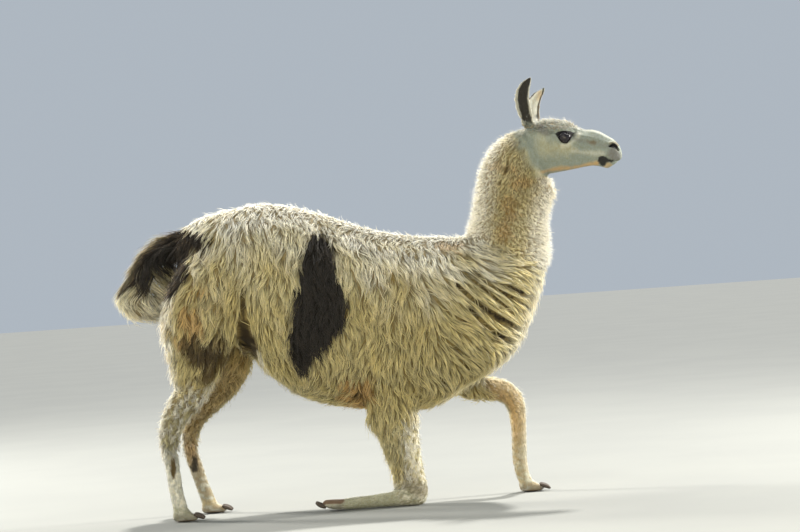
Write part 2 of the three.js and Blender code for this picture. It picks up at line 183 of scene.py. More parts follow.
# ---- markings, as seen from the side: forwards and up ----
# A mark with a reach of 0 is a closed outline, and the others reach that far from a line. Side is -1 on the
# right of the animal, 1 on its left and 0 on both.
Mark = namedtuple("Mark", "tone share side reach soft points")
TONES = ("dark", "warm", "tan", "bleach", "grey", "rust", "dusk", "parting")
BODY_MARKS = (
    Mark("dark", 1.0, -1, 0, 6, (
        (-185, 934), (-149, 930), (-122, 873), (-108, 806), (-94, 739), (-90, 673), (-97, 612),
        (-134, 566), (-192, 528), (-222, 492), (-252, 462), (-280, 472), (-298, 520), (-296, 575),
        (-284, 622), (-270, 685), (-258, 750), (-248, 815), (-230, 881),
    )),
    Mark("dark", 1.0, 1, 0, 7, (
        (-20, 830), (-80, 800), (-120, 720), (-130, 640), (-90, 560), (-30, 540), (30, 590),
        (60, 680), (50, 770),
    )),
    Mark("dark", 1.0, -1, 0, 6, (
        (-640, 985), (-596, 965), (-555, 948), (-550, 914), (-600, 903), (-609, 848), (-626, 809),
        (-648, 772), (-671, 745), (-694, 724), (-700, 760), (-690, 820), (-715, 890), (-725, 930),
        (-690, 975),
    )),
    Mark("dark", 1.0, 1, 0, 7, (
        (-640, 985), (-600, 965), (-580, 940), (-600, 890), (-640, 860), (-690, 850), (-715, 890),
        (-725, 930), (-690, 975),
    )),
    Mark("rust", 1.0, -1, 0, 15, (
        (-650, 588), (-587, 602), (-512, 592), (-472, 545), (-500, 486), (-580, 482), (-642, 505),
    )),
    Mark("warm", 0.8, -1, 0, 30, (
        (-636, 740), (-590, 745), (-574, 620), (-600, 590), (-668, 575), (-660, 660),
    )),
    # The flank fold between the thigh and the belly: painted shade, dark along the fold and brown where it
    # widens below.
    Mark("parting", 0.85, -1, 7, 5, ((-434, 745), (-438, 680), (-440, 620))),
    Mark("parting", 0.85, -1, 19, 9, ((-442, 650), (-439, 600), (-434, 535))),
    Mark("rust", 0.9, -1, 0, 10, (
        (-452, 640), (-424, 640), (-404, 560), (-412, 505), (-480, 505), (-466, 570),
    )),
    Mark("dark", 0.42, -1, 0, 15, (
        (-640, 582), (-585, 594), (-510, 582), (-474, 545), (-510, 512), (-618, 516),
    )),
    Mark("warm", 0.95, -1, 0, 14, (
        (-142, 375), (-108, 428), (-62, 436), (-28, 400), (-40, 335), (-118, 335),
    )),
    Mark("rust", 1.0, -1, 9, 6, ((-92, 392), (-82, 382))),
    Mark("warm", 0.6, -1, 7, 6, ((228, 866), (250, 860), (305, 858))),
    Mark("dark", 0.8, -1, 3, 2, ((106, 834), (110, 830))),
    Mark("dark", 0.8, -1, 4, 2, ((246, 822), (251, 815))),
    Mark("rust", 1.0, -1, 0, 2, (
        (-715, 214), (-703, 214), (-700, 180), (-708, 142), (-719, 162), (-721, 192),
    )),
    Mark("dark", 0.3, -1, 0, 2, (
        (-714, 210), (-704, 210), (-701, 180), (-708, 148), (-717, 164), (-719, 192),
    )),
    Mark("dark", 0.95, 1, 0, 3, (
        (-667, 201), (-652, 200), (-646, 184), (-651, 160), (-660, 149), (-674, 160),
    )),
    Mark("rust", 0.5, -1, 20, 14, ((92, 58), (130, 48))),
    # the partings of the chest and the neck, with painted shade in their depths
    Mark("parting", 1.0, -1, 3.5, 3, ((320, 818), (337, 775), (379, 726), (444, 684), (493, 650))),
    Mark("parting", 1.0, -1, 4.0, 3, ((310, 763), (350, 724), (401, 679), (457, 624))),
    Mark("parting", 1.0, -1, 5.6, 3, ((279, 729), (317, 685), (381, 630), (454, 582))),
    Mark("parting", 1.0, -1, 5.2, 3, ((315, 647), (338, 617), (393, 562), (443, 529))),
    Mark("parting", 1.0, -1, 4.8, 3, ((450, 713), (497, 686))),
    Mark("parting", 0.9, -1, 3.2, 3, ((192, 702), (250, 631), (292, 608))),
    Mark("parting", 0.9, -1, 3.2, 3, ((225, 553), (304, 480))),
    Mark("parting", 0.9, -1, 3.5, 3, ((274, 475), (302, 442))),
    Mark("parting", 0.7, -1, 3.0, 3, ((200, 424), (219, 398))),
    Mark("parting", 0.85, -1, 2.5, 2.5, ((530, 1198), (505, 1172), (482, 1143), (475, 1102))),
    Mark("parting", 0.85, -1, 2.5, 2.5, ((468, 1096), (448, 1060))),
    Mark("warm", 0.5, -1, 16, 26, ((475, 1102), (494, 1050), (484, 1000), (474, 950), (455, 908))),
)
# The same for the head, in its own frame.
HEAD_MARKS = (
    Mark("warm", 0.45, 1, 9, 8, ((594, 1362), (592, 1345))),
    Mark("rust", 0.6, 0, 3.5, 4, ((648, 1230), (669, 1233), (685, 1233), (701, 1237), (713, 1243))),
    Mark("rust", 0.4, 0, 4, 5, ((640, 1252), (676, 1254), (706, 1246), (722, 1234))),
    Mark("dusk", 0.45, 0, 8, 6, ((611, 1240), (618, 1224), (632, 1216))),
    Mark("tan", 0.6, 0, 16, 26, ((613, 1190), (624, 1160), (661, 1166), (700, 1158))),
    # Painted shade in the hollow from the eye's front corner down towards the nostril.
    Mark("dusk", 0.3, 0, 5, 8, ((716, 1192), (742, 1184), (768, 1178), (812, 1164), (836, 1158))),
    Mark("bleach", 0.3, 0, 5, 9, ((716, 1150), (752, 1143), (792, 1138), (812, 1134))),
    Mark("bleach", 0.4, 0, 5, 8, ((738, 1206), (729, 1190), (714, 1180), (696, 1171), (684, 1173))),
    Mark("warm", 0.75, 0, 4, 7, ((600, 1088), (662, 1096), (716, 1098), (753, 1103), (790, 1104))),
    Mark("warm", 0.5, 0, 0, 4, (
        (808, 1090), (818, 1099), (826, 1106), (836, 1101), (842, 1094), (818, 1084),
    )),
    Mark("rust", 0.75, 0, 0, 6, ((764, 1180), (784, 1182), (797, 1176), (790, 1165), (774, 1169))),
    Mark("dusk", 0.6, 0, 0, 7, (
        (828, 1128), (836, 1146), (846, 1151), (856, 1149), (866, 1141), (872, 1125), (866, 1106),
        (850, 1107), (838, 1114),
    )),
    Mark("rust", 0.7, 0, 2.5, 3, ((840, 1166), (848, 1172), (857, 1168), (864, 1159))),
)
MOUTH_DARK = (
    (794, 1112), (797, 1121), (804, 1126), (813, 1126), (822, 1122), (832, 1115), (843, 1110), (848, 1106),
    (838, 1104), (829, 1106), (822, 1103), (815, 1095), (808, 1093), (800, 1098),
)
NOSTRIL_DARK = (
    (834, 1158), (840, 1163), (847, 1168), (855, 1166), (862, 1160), (866, 1150),
    (866, 1142), (861, 1142), (853, 1150), (844, 1153), (836, 1154),
)


# ---- small helpers ----
def step(low, high, value):
    """0 below low, 1 above high, and a smooth rise between. low may be above high."""
    t = np.clip((value - low) / (high - low), 0, 1)
    return t * t * (3 - 2 * t)


def unit(vectors):
    return vectors / np.maximum(np.linalg.norm(vectors, axis=-1, keepdims=True), 1e-9)


def mixed(a, b, share):
    share = np.asarray(share)[:, None]
    return a * (1 - share) + b * share


def ripple(points, size, seed):
    """Smooth random values, mostly from -1 to 1, that change over about size millimetres."""
    rng = np.random.default_rng(seed)
    total = np.zeros(len(points))
    waves = 7
    for _ in range(waves):
        across = unit(rng.normal(size=3)) * (math.tau / size) * rng.uniform(0.5, 1.3)
        total += np.sin(points @ across + rng.uniform(0, math.tau))
    return total / math.sqrt(waves)


def inside(flat, outline):
    """How far each flat point lies inside an outline; negative outside it."""
    corners = np.array(outline, float)
    best = np.full(len(flat), 1e9)
    within = np.zeros(len(flat), bool)
    for a, b in zip(corners, np.roll(corners, -1, 0)):
        along = b - a
        share = np.clip(((flat - a) @ along) / (along @ along), 0, 1)
        best = np.minimum(best, np.linalg.norm(flat - a - share[:, None] * along, axis=1))
        crosses = (a[1] > flat[:, 1]) != (b[1] > flat[:, 1])
        meets = (b[0] - a[0]) * (flat[:, 1] - a[1]) / (b[1] - a[1] + 1e-12) + a[0]
        within ^= crosses & (flat[:, 0] < meets)
    return np.where(within, best, -best)


def beside(points, line):
    """Each point's distance from a line, the way from the line to it, and the line's own way there."""
    line = np.array(line, float)
    best = np.full(len(points), 1e9)
    out, way = np.zeros_like(points), np.zeros_like(points)
    for a, b in zip(line[:-1], line[1:]):
        along = b - a
        share = np.clip(((points - a) @ along) / (along @ along), 0, 1)
        off = points - a - share[:, None] * along
        far = np.linalg.norm(off, axis=1)
        closer = far < best
        best[closer] = far[closer]
        out[closer] = (off / np.maximum(far, 0.01)[:, None])[closer]
        way[closer] = along / np.linalg.norm(along)
    return best, out, way


def away(points, line):
    return beside(points, line)[0]


def partings(points):
    """For each parting: its reach, which points it is near on the right side, and what beside says of those."""
    for mark in BODY_MARKS:
        if mark.tone != "parting":
            continue
        flat = points[:, [0, 2]]
        line = np.array(mark.points, float)
        room = 90  # past which a parting has no effect
        near = (flat > line.min(0) - room).all(1) & (flat < line.max(0) + room).all(1)
        near &= points[:, 1] < 0
        yield mark.reach, near, *beside(flat[near], line)


def parted(points):
    """Combs places on the right side of the animal away from the partings, less and less with distance."""
    for reach, near, far, out, along in partings(points):
        push = (reach + 1.5) * np.exp(-far / (reach + 3))
        if reach > WIDE_PARTING:  # nothing moves straight on past its ends
            push *= 1 - np.abs((out * along).sum(1))
        points[near, 0] += out[:, 0] * push
        points[near, 2] += out[:, 1] * push
    return points


def fanned(points):
    """Spreads the end of the tail: forwards to the rump, and backwards with its outer corner raised."""
    line = np.array(TAIL_LINE[::-1], float)
    high = points[:, 2]
    off = points[:, 0] - np.interp(high, line[:, 1], line[:, 0])
    points[:, 0] += np.maximum(off + 40, 0) * 0.75 * step(928, 785, high)
    points[:, 0] -= 24 * step(30, -35, off) * step(830, 740, high)
    points[:, 2] += 30 * step(-20, -75, off) * step(760, 690, high)
    return points


def turned(points, back=False):
    """From the head's own frame to the model's, or back from it."""
    c, s = math.cos(HEAD_YAW), math.sin(HEAD_YAW) * (-1 if back else 1)
    d = points - HEAD_PIVOT
    return np.stack([c * d[:, 0] - s * d[:, 1], s * d[:, 0] + c * d[:, 1], d[:, 2]], 1) + HEAD_PIVOT


def turned_direction(directions, back=False):
    return turned(directions + HEAD_PIVOT, back) - HEAD_PIVOT


def on_left(own):
    """Places in the head's own frame, with its right half mirrored onto its left."""
    return np.stack([own[:, 0], np.abs(own[:, 1]), own[:, 2]], 1)


def read(owner, what, field, wide, number=np.float32):
    """One field of all the elements of a mesh or an attribute, as rows of wide numbers."""
    values = np.empty(len(getattr(owner, what)) * wide, number)
    getattr(owner, what).foreach_get(field, values)
    return values.reshape(-1, wide) if wide > 1 else values


def put(mesh, points):
    mesh.vertices.foreach_set("co", (points * MM).astype(np.float32).ravel())
    mesh.update()


def get(mesh):
    return read(mesh, "vertices", "co", 3).astype(float) / MM


def normals_of(mesh):
    return read(mesh, "vertex_normals", "vector", 3).astype(float)


def spread(values, edges, rounds, share=0.6):
    """Values that blend into their neighbours' over the mesh."""
    a, b = edges.T
    count = np.maximum(np.bincount(a, minlength=len(values)) + np.bincount(b, minlength=len(values)), 1)
    flat = values.reshape(len(values), -1).copy()
    for _ in range(rounds):
        for k in range(flat.shape[1]):
            column = flat[:, k]
            total = np.bincount(a, column[b], len(values)) + np.bincount(b, column[a], len(values))
            flat[:, k] = column + (total / count - column) * share
    return flat.reshape(values.shape)


STORED_AS = {
    "INT": ("value", 1, np.int32),
    "FLOAT": ("value", 1, np.float32),
    "FLOAT_VECTOR": ("vector", 3, np.float32),
    "FLOAT_COLOR": ("color", 4, np.float32),
}


def store(mesh, name, kind, values):
    """Keeps a value for each vertex of a mesh, as an attribute."""
    field, _, number = STORED_AS[kind]
    layer = mesh.attributes.new(name, kind, "POINT")
    layer.data.foreach_set(field, np.ascontiguousarray(values, number).ravel())


def stored(mesh, name):
    """The values that store kept."""
    layer = mesh.attributes[name]
    return read(layer, "data", *STORED_AS[layer.data_type])


def store_marks(mesh, shares):
    """The shares of the eight tones, four to a colour attribute."""
    store(mesh, "marks", "FLOAT_COLOR", shares[:, :4])
    store(mesh, "marks2", "FLOAT_COLOR", shares[:, 4:])


def add_piece(name, mesh, slot, *replaced):
    piece = bpy.data.objects.new(name, mesh)
    bpy.context.scene.collection.objects.link(piece)
    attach(piece, "root")
    if replaced:
        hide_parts(*replaced)
    return piece


def mesh_from(bm, name):
    mesh = bpy.data.meshes.new(name)
    bm.to_mesh(mesh)
    bm.free()
    return mesh


def smooth_faces(mesh):
    mesh.polygons.foreach_set("use_smooth", np.ones(len(mesh.polygons), bool))


# ---- materials ----
class Finish:
    """One material with a Principled shader, and the few kinds of nodes that feed it."""

    def __init__(self, name, roughness, **sockets):
        self.material = bpy.data.materials.new(name)
        self.material.use_nodes = True
        self.tree = self.material.node_tree
        self.tree.nodes.clear()
        self.shader = self.tree.nodes.new("ShaderNodeBsdfPrincipled")
        output = self.tree.nodes.new("ShaderNodeOutputMaterial")
        self.tree.links.new(self.shader.outputs[0], output.inputs[0])
        self.shader.inputs["Roughness"].default_value = roughness
        for socket, value in sockets.items():
            self.shader.inputs[socket.replace("_", " ").title().replace("Ior", "IOR")].default_value = value

    def feed(self, socket, value):
        if isinstance(value, bpy.types.NodeSocket):
            self.tree.links.new(value, socket)
        elif value is not None:
            socket.default_value = (*value, 1) if isinstance(value, tuple) and len(value) == 3 else value

    def attribute(self, name):
        node = self.tree.nodes.new("ShaderNodeAttribute")
        node.attribute_name = name
        return node

    def channels(self, name):
        """Red, green, blue and alpha of a colour attribute."""
        node = self.attribute(name)
        split = self.tree.nodes.new("ShaderNodeSeparateColor")
        self.feed(split.inputs[0], node.outputs["Color"])
        return (*split.outputs[:3], node.outputs["Alpha"])

    def mix(self, share, a, b, blend="MIX"):
        node = self.tree.nodes.new("ShaderNodeMix")
        node.data_type, node.blend_type = "RGBA", blend
        for index, value in ((0, share), (6, a), (7, b)):
            self.feed(node.inputs[index], value)
        return node.outputs[2]

    def maths(self, operation, a, b=None):
        node = self.tree.nodes.new("ShaderNodeMath")
        node.operation = operation
        self.feed(node.inputs[0], a)
        self.feed(node.inputs[1], b)
        return node.outputs[0]

    def distance(self, a, b):
        """The square root of two squares' sum."""
        squares = [self.maths("MULTIPLY", side, side) for side in (a, b)]
        return self.maths("SQRT", self.maths("ADD", *squares))

    def between(self, value, low, high, to_low=0.0, to_high=1.0):
        node = self.tree.nodes.new("ShaderNodeMapRange")
        node.interpolation_type = "SMOOTHSTEP"
        for index, number in enumerate((value, low, high, to_low, to_high)):
            self.feed(node.inputs[index], number)
        return node.outputs[0]

    def noise(self, scale, detail=3.0, stretch=(1, 1, 1), where=None):
        place = where or self.tree.nodes.new("ShaderNodeTexCoord").outputs["Object"]
        mapping = self.tree.nodes.new("ShaderNodeMapping")
        self.feed(mapping.inputs["Vector"], place)
        mapping.inputs["Scale"].default_value = stretch
        node = self.tree.nodes.new("ShaderNodeTexNoise")
        self.feed(node.inputs["Vector"], mapping.outputs[0])
        node.inputs["Scale"].default_value = scale
        node.inputs["Detail"].default_value = detail
        node.inputs["Roughness"].default_value = 0.55
        return node.outputs["Fac"]

    def bump(self, height, strength, distance):
        node = self.tree.nodes.new("ShaderNodeBump")
        node.inputs["Strength"].default_value = strength
        node.inputs["Distance"].default_value = distance
        self.feed(node.inputs["Height"], height)
        self.feed(self.shader.inputs["Normal"], node.outputs[0])

    def colour(self, value):
        self.feed(self.shader.inputs["Base Color"], value)
        return self.material


def coat_colour(finish, tones):
    """The markings, which the skin and every tuft take from the same attributes."""
    dark, warm, tan, bleach = finish.channels("marks")
    grey, rust, dusk, parting = finish.channels("marks2")
    patchy = finish.noise(9.0, 4.0)
    colour = finish.mix(finish.between(patchy, 0.35, 0.7), tuple(tones.cream), tuple(tones.straw))
    for share, tone in (
        (tan, tones.tan), (grey, tones.face_grey), (bleach, tones.white), (warm, tones.warm),
        (rust, tones.rust), (dusk, tones.dusk), (dark, tones.dark), (parting, tones.parting),
    ):
        colour = finish.mix(share, colour, tuple(tone))
    return colour


def wool_material(tones):
    finish = Finish(
        "wool", 0.82, sheen_weight=0.08, sheen_roughness=0.4, specular_ior_level=0.2,
        subsurface_weight=0.4, subsurface_radius=(1.0, 0.85, 0.6), subsurface_scale=0.008,
    )
    random, along, lock, _ = finish.channels("tuft")
    colour = coat_colour(finish, tones)
    # Painted shade: each tuft darkens towards its root and where its lock meets the next, where the coat shades
    # itself, and brightens a little at its tip.
    shade = finish.between(along, 0.0, 0.6, tones.root_shade, 1.06)
    shade = finish.maths("MULTIPLY", shade, finish.between(random, 0.0, 1.0, 0.86, 1.08))
    shade = finish.maths("MULTIPLY", shade, finish.between(lock, 0.15, 0.95, tones.lock_shade, 1.14))
    shaded = finish.tree.nodes.new("ShaderNodeVectorMath")
    shaded.operation = "SCALE"
    finish.feed(shaded.inputs[0], colour)
    finish.feed(shaded.inputs["Scale"], shade)
    return finish.colour(shaded.outputs[0])


def skin_material(tones):
    finish = Finish("hide", 0.75, specular_ior_level=0.25)
    colour = coat_colour(finish, tones)
    black, under, pad, _ = finish.channels("bare")
    hairs = finish.noise(230.0, 3.0, (1.0, 1.0, 0.6))
    colour = finish.mix(finish.between(hairs, 0.38, 0.7, 0.0, 0.4), colour, tuple(tones.straw), "MULTIPLY")
    # Painted shade: the skin deep in the fleece is darkened.
    colour = finish.mix(under, colour, tuple(tones.underwool), "MULTIPLY")
    colour = finish.mix(pad, colour, tuple(tones.pad))
    colour = finish.mix(black, colour, tuple(tones.black_skin))
    finish.bump(finish.noise(620.0, 4.0, (0.35, 0.8, 0.7)), 0.55, 0.002)
    return finish.colour(colour)


def eye_material(tones):
    finish = Finish("eye", 0.04, specular_ior_level=0.08, ior=1.34)
    gaze = finish.attribute("gaze").outputs["Vector"]
    split = finish.tree.nodes.new("ShaderNodeSeparateXYZ")
    finish.feed(split.inputs[0], gaze)
    across, up, _ = split.outputs
    # the pupil is a lying oval, and the rim of the eyeball a circle
    slot = finish.distance(finish.maths("MULTIPLY", across, 0.62), finish.maths("MULTIPLY", up, 1.5))
    edge = finish.distance(across, up)
    streaks = finish.noise(14.0, 4.0, where=gaze)
    iris = finish.mix(streaks, tuple(tones.iris), tuple(tones.iris_deep))
    colour = finish.mix(finish.between(edge, 0.66, 0.8), iris, tuple(tones.eye_rim))
    colour = finish.mix(finish.between(slot, 0.3, 0.36, 1.0, 0.0), colour, tuple(tones.pupil))
    return finish.colour(colour)


def horn_material(tones):
    finish = Finish("horn", 0.62, specular_ior_level=0.25)
    growth = finish.noise(160.0, 3.0, (1.0, 1.0, 4.0))
    colour = finish.mix(finish.between(growth, 0.3, 0.7), tuple(tones.horn), tuple(tones.horn_pale))
    finish.bump(finish.noise(300.0, 3.0, (1.0, 1.0, 5.0)), 0.4, 0.001)
    return finish.colour(colour)


def lash_material(tones):
    finish = Finish("lash", 0.45)
    colour = finish.mix(finish.noise(300.0), tuple(tones.dark), tuple(tones.pupil))
    return finish.colour(colour)


def floor_material(tones):
    finish = Finish("studio_floor", 0.85)
    worn = finish.between(finish.noise(1.5, 5.0), 0.35, 0.65)
    colour = finish.mix(worn, tuple(tones.floor), tuple(tones.floor_worn))
    finish.bump(finish.noise(90.0, 4.0), 0.08, 0.001)
    return finish.colour(colour)


def finish_named(name):
    if name not in bpy.data.materials:
        tones = bpy.context.scene.llama_tones
        {
            "wool": wool_material,
            "hide": skin_material,
            "eye": eye_material,
            "horn": horn_material,
            "lash": lash_material,
            "studio_floor": floor_material,
        }[name](tones)
    return bpy.data.materials[name]


# ---- skin ----
def remeshed(voxel, rounds):
    """The flesh nodes, swollen until they overlap and remeshed as one closed surface."""
    bm = bmesh.new()
    for name in FLESH:
        part = bmesh.new()
        part.from_mesh(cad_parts[name].data)
        bmesh.ops.remove_doubles(part, verts=part.verts, dist=MERGE)
        part.normal_update()
        swell = SWELL + (EAR_SWELL if name.startswith("ear") else 0)
        for vert in part.verts:
            vert.co += vert.normal * swell * MM
        swollen = mesh_from(part, name)
        bm.from_mesh(swollen)
        bpy.data.meshes.remove(swollen)
    piece = bpy.data.objects.new("remesh", mesh_from(bm, "remesh"))
    bpy.context.scene.collection.objects.link(piece)
    remesh = piece.modifiers.new("remesh", "REMESH")
    remesh.mode, remesh.voxel_size = "VOXEL", voxel * MM
    soften = piece.modifiers.new("soften", "SMOOTH")
    soften.factor, soften.iterations = 0.5, rounds
    made = bpy.data.meshes.new_from_object(piece.evaluated_get(bpy.context.evaluated_depsgraph_get()))
    old = piece.data
    bpy.data.objects.remove(piece)
    bpy.data.meshes.remove(old)
    return made


def trimmed(mesh, shift, keep_face):
    """The side of a mesh that is on the face's or the body's side of the jaw plane."""
    bm = bmesh.new()
    bm.from_mesh(mesh)
    bpy.data.meshes.remove(mesh)
    bmesh.ops.bisect_plane(
        bm,
        geom=bm.verts[:] + bm.edges[:] + bm.faces[:],
        dist=1e-6,
        plane_co=(JAW_AT + JAW_NORMAL * shift) * MM,
        plane_no=JAW_NORMAL,
        clear_inner=keep_face,
        clear_outer=not keep_face,
    )
    return bm


def split_finer(bm, chosen):
    """Halves the edges whose ends are both chosen by a test of their places in the head's own frame."""
    co = turned(np.array([v.co for v in bm.verts]) / MM, back=True)
    picked = chosen(co)
    bm.verts.index_update()
    edges = [e for e in bm.edges if picked[e.verts[0].index] and picked[e.verts[1].index]]
    bmesh.ops.subdivide_edges(bm, edges=edges, cuts=1, use_grid_fill=True)


def near_eyes(co):
    reach, inmost = 31, 42
    flat = co - EYE_CENTRE
    return (np.hypot(flat[:, 0], flat[:, 2]) < reach) & (np.abs(co[:, 1]) > inmost)


def near_lips(co):
    sided = on_left(co)
    reaches = ((NOSTRIL, 12), (MOUTH, 8), (LIP_CLEFT, 6))
    return np.any([away(sided, line) < reach for line, reach in reaches], axis=0)


def near_lids(co):
    return np.abs(lid_gap(co)) < 5


def joined_skin():
    """The body in coarse faces and the head in fine ones, bridged behind the jaw."""
    sizes = bpy.context.scene.llama_shape
    half_gap = sizes.body_grain / MM * 0.6
    body = trimmed(remeshed(sizes.body_grain / MM, 4), -half_gap, False)
    face = trimmed(remeshed(sizes.face_grain / MM, 5), half_gap, True)
    split_finer(face, lambda co: near_eyes(co) | near_lips(co))
    split_finer(face, near_lids)
    face_mesh = mesh_from(face, "face")
    body.from_mesh(face_mesh)
    bpy.data.meshes.remove(face_mesh)
    bmesh.ops.bridge_loops(body, edges=[e for e in body.edges if e.is_boundary])
    bmesh.ops.recalc_face_normals(body, faces=body.faces)
    return mesh_from(body, "skin")


def parts_near(co):
    """The number of the flesh node that each point is nearest to."""
    places, faces, owner = [], [], []
    for number, name in enumerate(FLESH):
        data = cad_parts[name].data
        start = len(places)
        places += [v.co[:] for v in data.vertices]
        faces += [[start + i for i in p.vertices] for p in data.polygons]
        owner += [number] * len(data.polygons)
    tree = BVHTree.FromPolygons(places, faces)
    owner = np.array(owner)
    return owner[[tree.find_nearest(p)[2] for p in (co * MM).tolist()]]


def past_jaw(co):
    return (co - JAW_AT) @ JAW_NORMAL


def before_jaw(co):
    """How far each point lies in the face, from the jaw's edge; the throat falls away from it faster."""
    return np.minimum(past_jaw(co), 4.5 * (co[:, 2] - JAW_AT[2]))


def ear_share(own):
    """1 on the ears and their roots, and 0 on the crown."""
    return step(1242, 1270, own[:, 2]) * step(618, 602, own[:, 0]) * step(42, 52, np.abs(own[:, 1]))


def is_part(part, *endings):
    numbers = [n for name, n in PART.items() if name.endswith(endings)]
    return np.isin(part, numbers)


def usual_rows(part):
    """The row of the coat table that belongs to each point's node of flesh."""
    keys = [name if name in COAT_OF_PART else name.rsplit("_", 1)[-1] for name in FLESH]
    return np.array([COATS[COAT_OF_PART[key]] for key in keys], float)[part]


def coat_rows(co, nrm, part, edges):
    """Every column of the coat table, for each point of the skin."""
    table = {name: np.array(row, float) for name, row in COATS.items()}
    rows = usual_rows(part)
    x, _, z = co.T
    own = turned(co, back=True)
    trunk, tail = is_part(part, "trunk"), is_part(part, "tail")
    hocks = is_part(part, "hindleg_right_cannon", "hindleg_left_cannon")
    kneeling = part == PART["foreleg_right_forearm"]
    for name, share in (
        ("belly", trunk * step(-0.35, -0.85, nrm[:, 2])),
        ("back", trunk * step(0.6, 0.92, nrm[:, 2])),
        ("chest", trunk * step(90, 300, x) * step(0.8, 0.4, np.abs(nrm[:, 2]))),
        ("gaskin", hocks * step(175, 250, z)),
        ("forearm", kneeling * np.maximum(step(54, 82, x), step(110, 60, z)) * step(330, 250, z)),
    ):
        rows = mixed(rows, table[name], share)
    rows = spread(rows, edges, 8)
    # Behind the jaw the fleece of the neck gives way to the short hair of the face.
    ahead = before_jaw(co) + 6 * ripple(co, 34, 5)
    face = mixed(table["face"], table["crown"], step(1206, 1246, z + 5 * ripple(co, 30, 6)))
    face = mixed(face, table["muzzle"], step(735, 800, own[:, 0]))
    head = is_part(part, "head", "ear_left", "ear_right") | (past_jaw(co) > -80)
    rows[head] = mixed(table["neck"], face, step(-60, 10, ahead))[head]
    rows = mixed(rows, table["ear"], ear_share(own))
    inner_tail = tail * step(0.0, 0.6, nrm[:, 0]) * step(935, 890, z)
    tail_end = tail * step(780, 700, z)
    rows[:, COLUMN["hang"]] += 0.5 * inner_tail
    rows[:, COLUMN["hang"]] += 0.45 * tail_end
    rows[:, COLUMN["length"]] *= 1 + 0.5 * inner_tail * step(740, 800, z) - 0.5 * tail_end
    for _, near, far, _, _ in partings(co):
        calm = 1 - 0.85 * np.exp(-((far / 40) ** 2))
        for field in ("unruly", "stray", "curl"):
            rows[near, COLUMN[field]] *= calm
    return rows


def lie(co, nrm, part, edges):
    """The way the hair lies at each point of the skin."""
    x, y, z = co.T
    outwards = np.clip(y / 40, -1, 1)
    forwards = np.radians(58) * step(80, 430, x) * (0.55 + 0.45 * step(420, 700, z))
    forwards = forwards - np.radians(14) * step(-360, -620, x) + 0.16 * ripple(co, 150, 21)
    zero = np.zeros(len(co))
    flow = np.stack([np.sin(forwards), zero, -np.cos(forwards)], 1)
    over_back = unit(np.stack([zero - 0.3, outwards, zero - 0.3], 1))
    flow = mixed(flow, over_back, step(0.62, 0.95, nrm[:, 2]))
    flow = mixed(flow, np.array([-0.7, 0, -0.7]), step(-0.5, -0.95, nrm[:, 2]))
    neck = is_part(part, "neck")
    flow[neck] = unit(np.stack([0.7 * step(980, 740, z[neck]) - 0.1, zero[neck], zero[neck] - 1], 1))
    for name, way in LIE_OF_PART.items():
        flow[part == PART[name]] = unit(np.array(way, float))
    tail = is_part(part, "tail")
    line = np.array(TAIL_LINE, float)
    middles, ways = (line[1:] + line[:-1]) / 2, unit(line[1:] - line[:-1])
    flat = co[tail][:, [0, 2]]
    pull = np.exp(-(((flat[:, None] - middles) / 45) ** 2).sum(2)) + 1e-6
    blend = unit(pull @ ways)
    inner = step(0.0, 0.6, nrm[tail, 0]) * step(935, 890, z[tail])
    along_tail = np.stack([blend[:, 0], zero[tail], blend[:, 1]], 1)
    flow[tail] = mixed(along_tail, np.array([0.75, 0, -0.66]), inner)
    flow = unit(spread(flow, edges, 8))
    own, tilt = turned(co, back=True), turned_direction(nrm, back=True)
    rise = 0.25 * step(0.2, 0.8, tilt[:, 2]) - 0.35 * step(0.4, -0.4, tilt[:, 2])
    face = np.stack([zero - 1, zero, rise], 1)
    face = mixed(face, np.array([-0.5, 0, -0.9]), step(800, 850, own[:, 0]))
    ahead = step(-40, 0, past_jaw(co))
    flow = mixed(flow, turned_direction(unit(face)), ahead)
    for side in (-1, 1):
        ear = (ear_share(own) > 0.3) & (own[:, 1] * side > 0)
        reach = np.linalg.norm(co[ear] - np.array([600, 0, 1180]), axis=1)
        flow[ear] = unit(co[ear][reach.argmax()] - co[ear][reach.argmin()])
    swirl = 0.26 * ripple(co, 60, 22) + 0.14 * ripple(co, 26, 23)
    swirl *= usual_rows(part)[:, COLUMN["length"]] > 20  # short hair lies straight
    for _, near, far, _, along in partings(co):
        share = np.exp(-((far / 36) ** 2))
        flow[near] = mixed(flow[near], np.stack([along[:, 0], zero[near], along[:, 1]], 1), share)
        swirl[near] *= 1 - 0.9 * share
    flow -= nrm * (flow * nrm).sum(1)[:, None]
    flow = unit(flow)
    return unit(flow + np.cross(nrm, flow) * swirl[:, None])


def arced(outline):
    """Places seen from the side, moved out to their distances along the eyeball."""
    flat = np.array(outline, float)
    far = np.linalg.norm(flat, axis=1)
    return flat * (np.arcsin(np.minimum(far / LID_RADIUS, 0.99)) * EYE_RADIUS / far)[:, None]


def lid_distance(own, side):
    """How far each point lies inside the gap between one eye's lids, and its place from the eye's middle."""
    far_off = -99
    rel = own - EYE_CENTRE * (1, side, 1)
    rel[:, 1] *= side
    flat = np.hypot(rel[:, 0], rel[:, 2])
    stretch = np.arctan2(flat, np.maximum(rel[:, 1], 0.01)) * EYE_RADIUS / np.maximum(flat, 1e-6)
    gap = inside(rel[:, [0, 2]] * stretch[:, None], arced(LID_GAP))
    return np.where((flat < 2 * EYE_RADIUS) & (rel[:, 1] > -14), gap, far_off), rel


def lid_gap(own):
    """How far each point lies inside the gap between the lids, whichever eye is nearer."""
    return np.maximum(lid_distance(own, -1)[0], lid_distance(own, 1)[0])


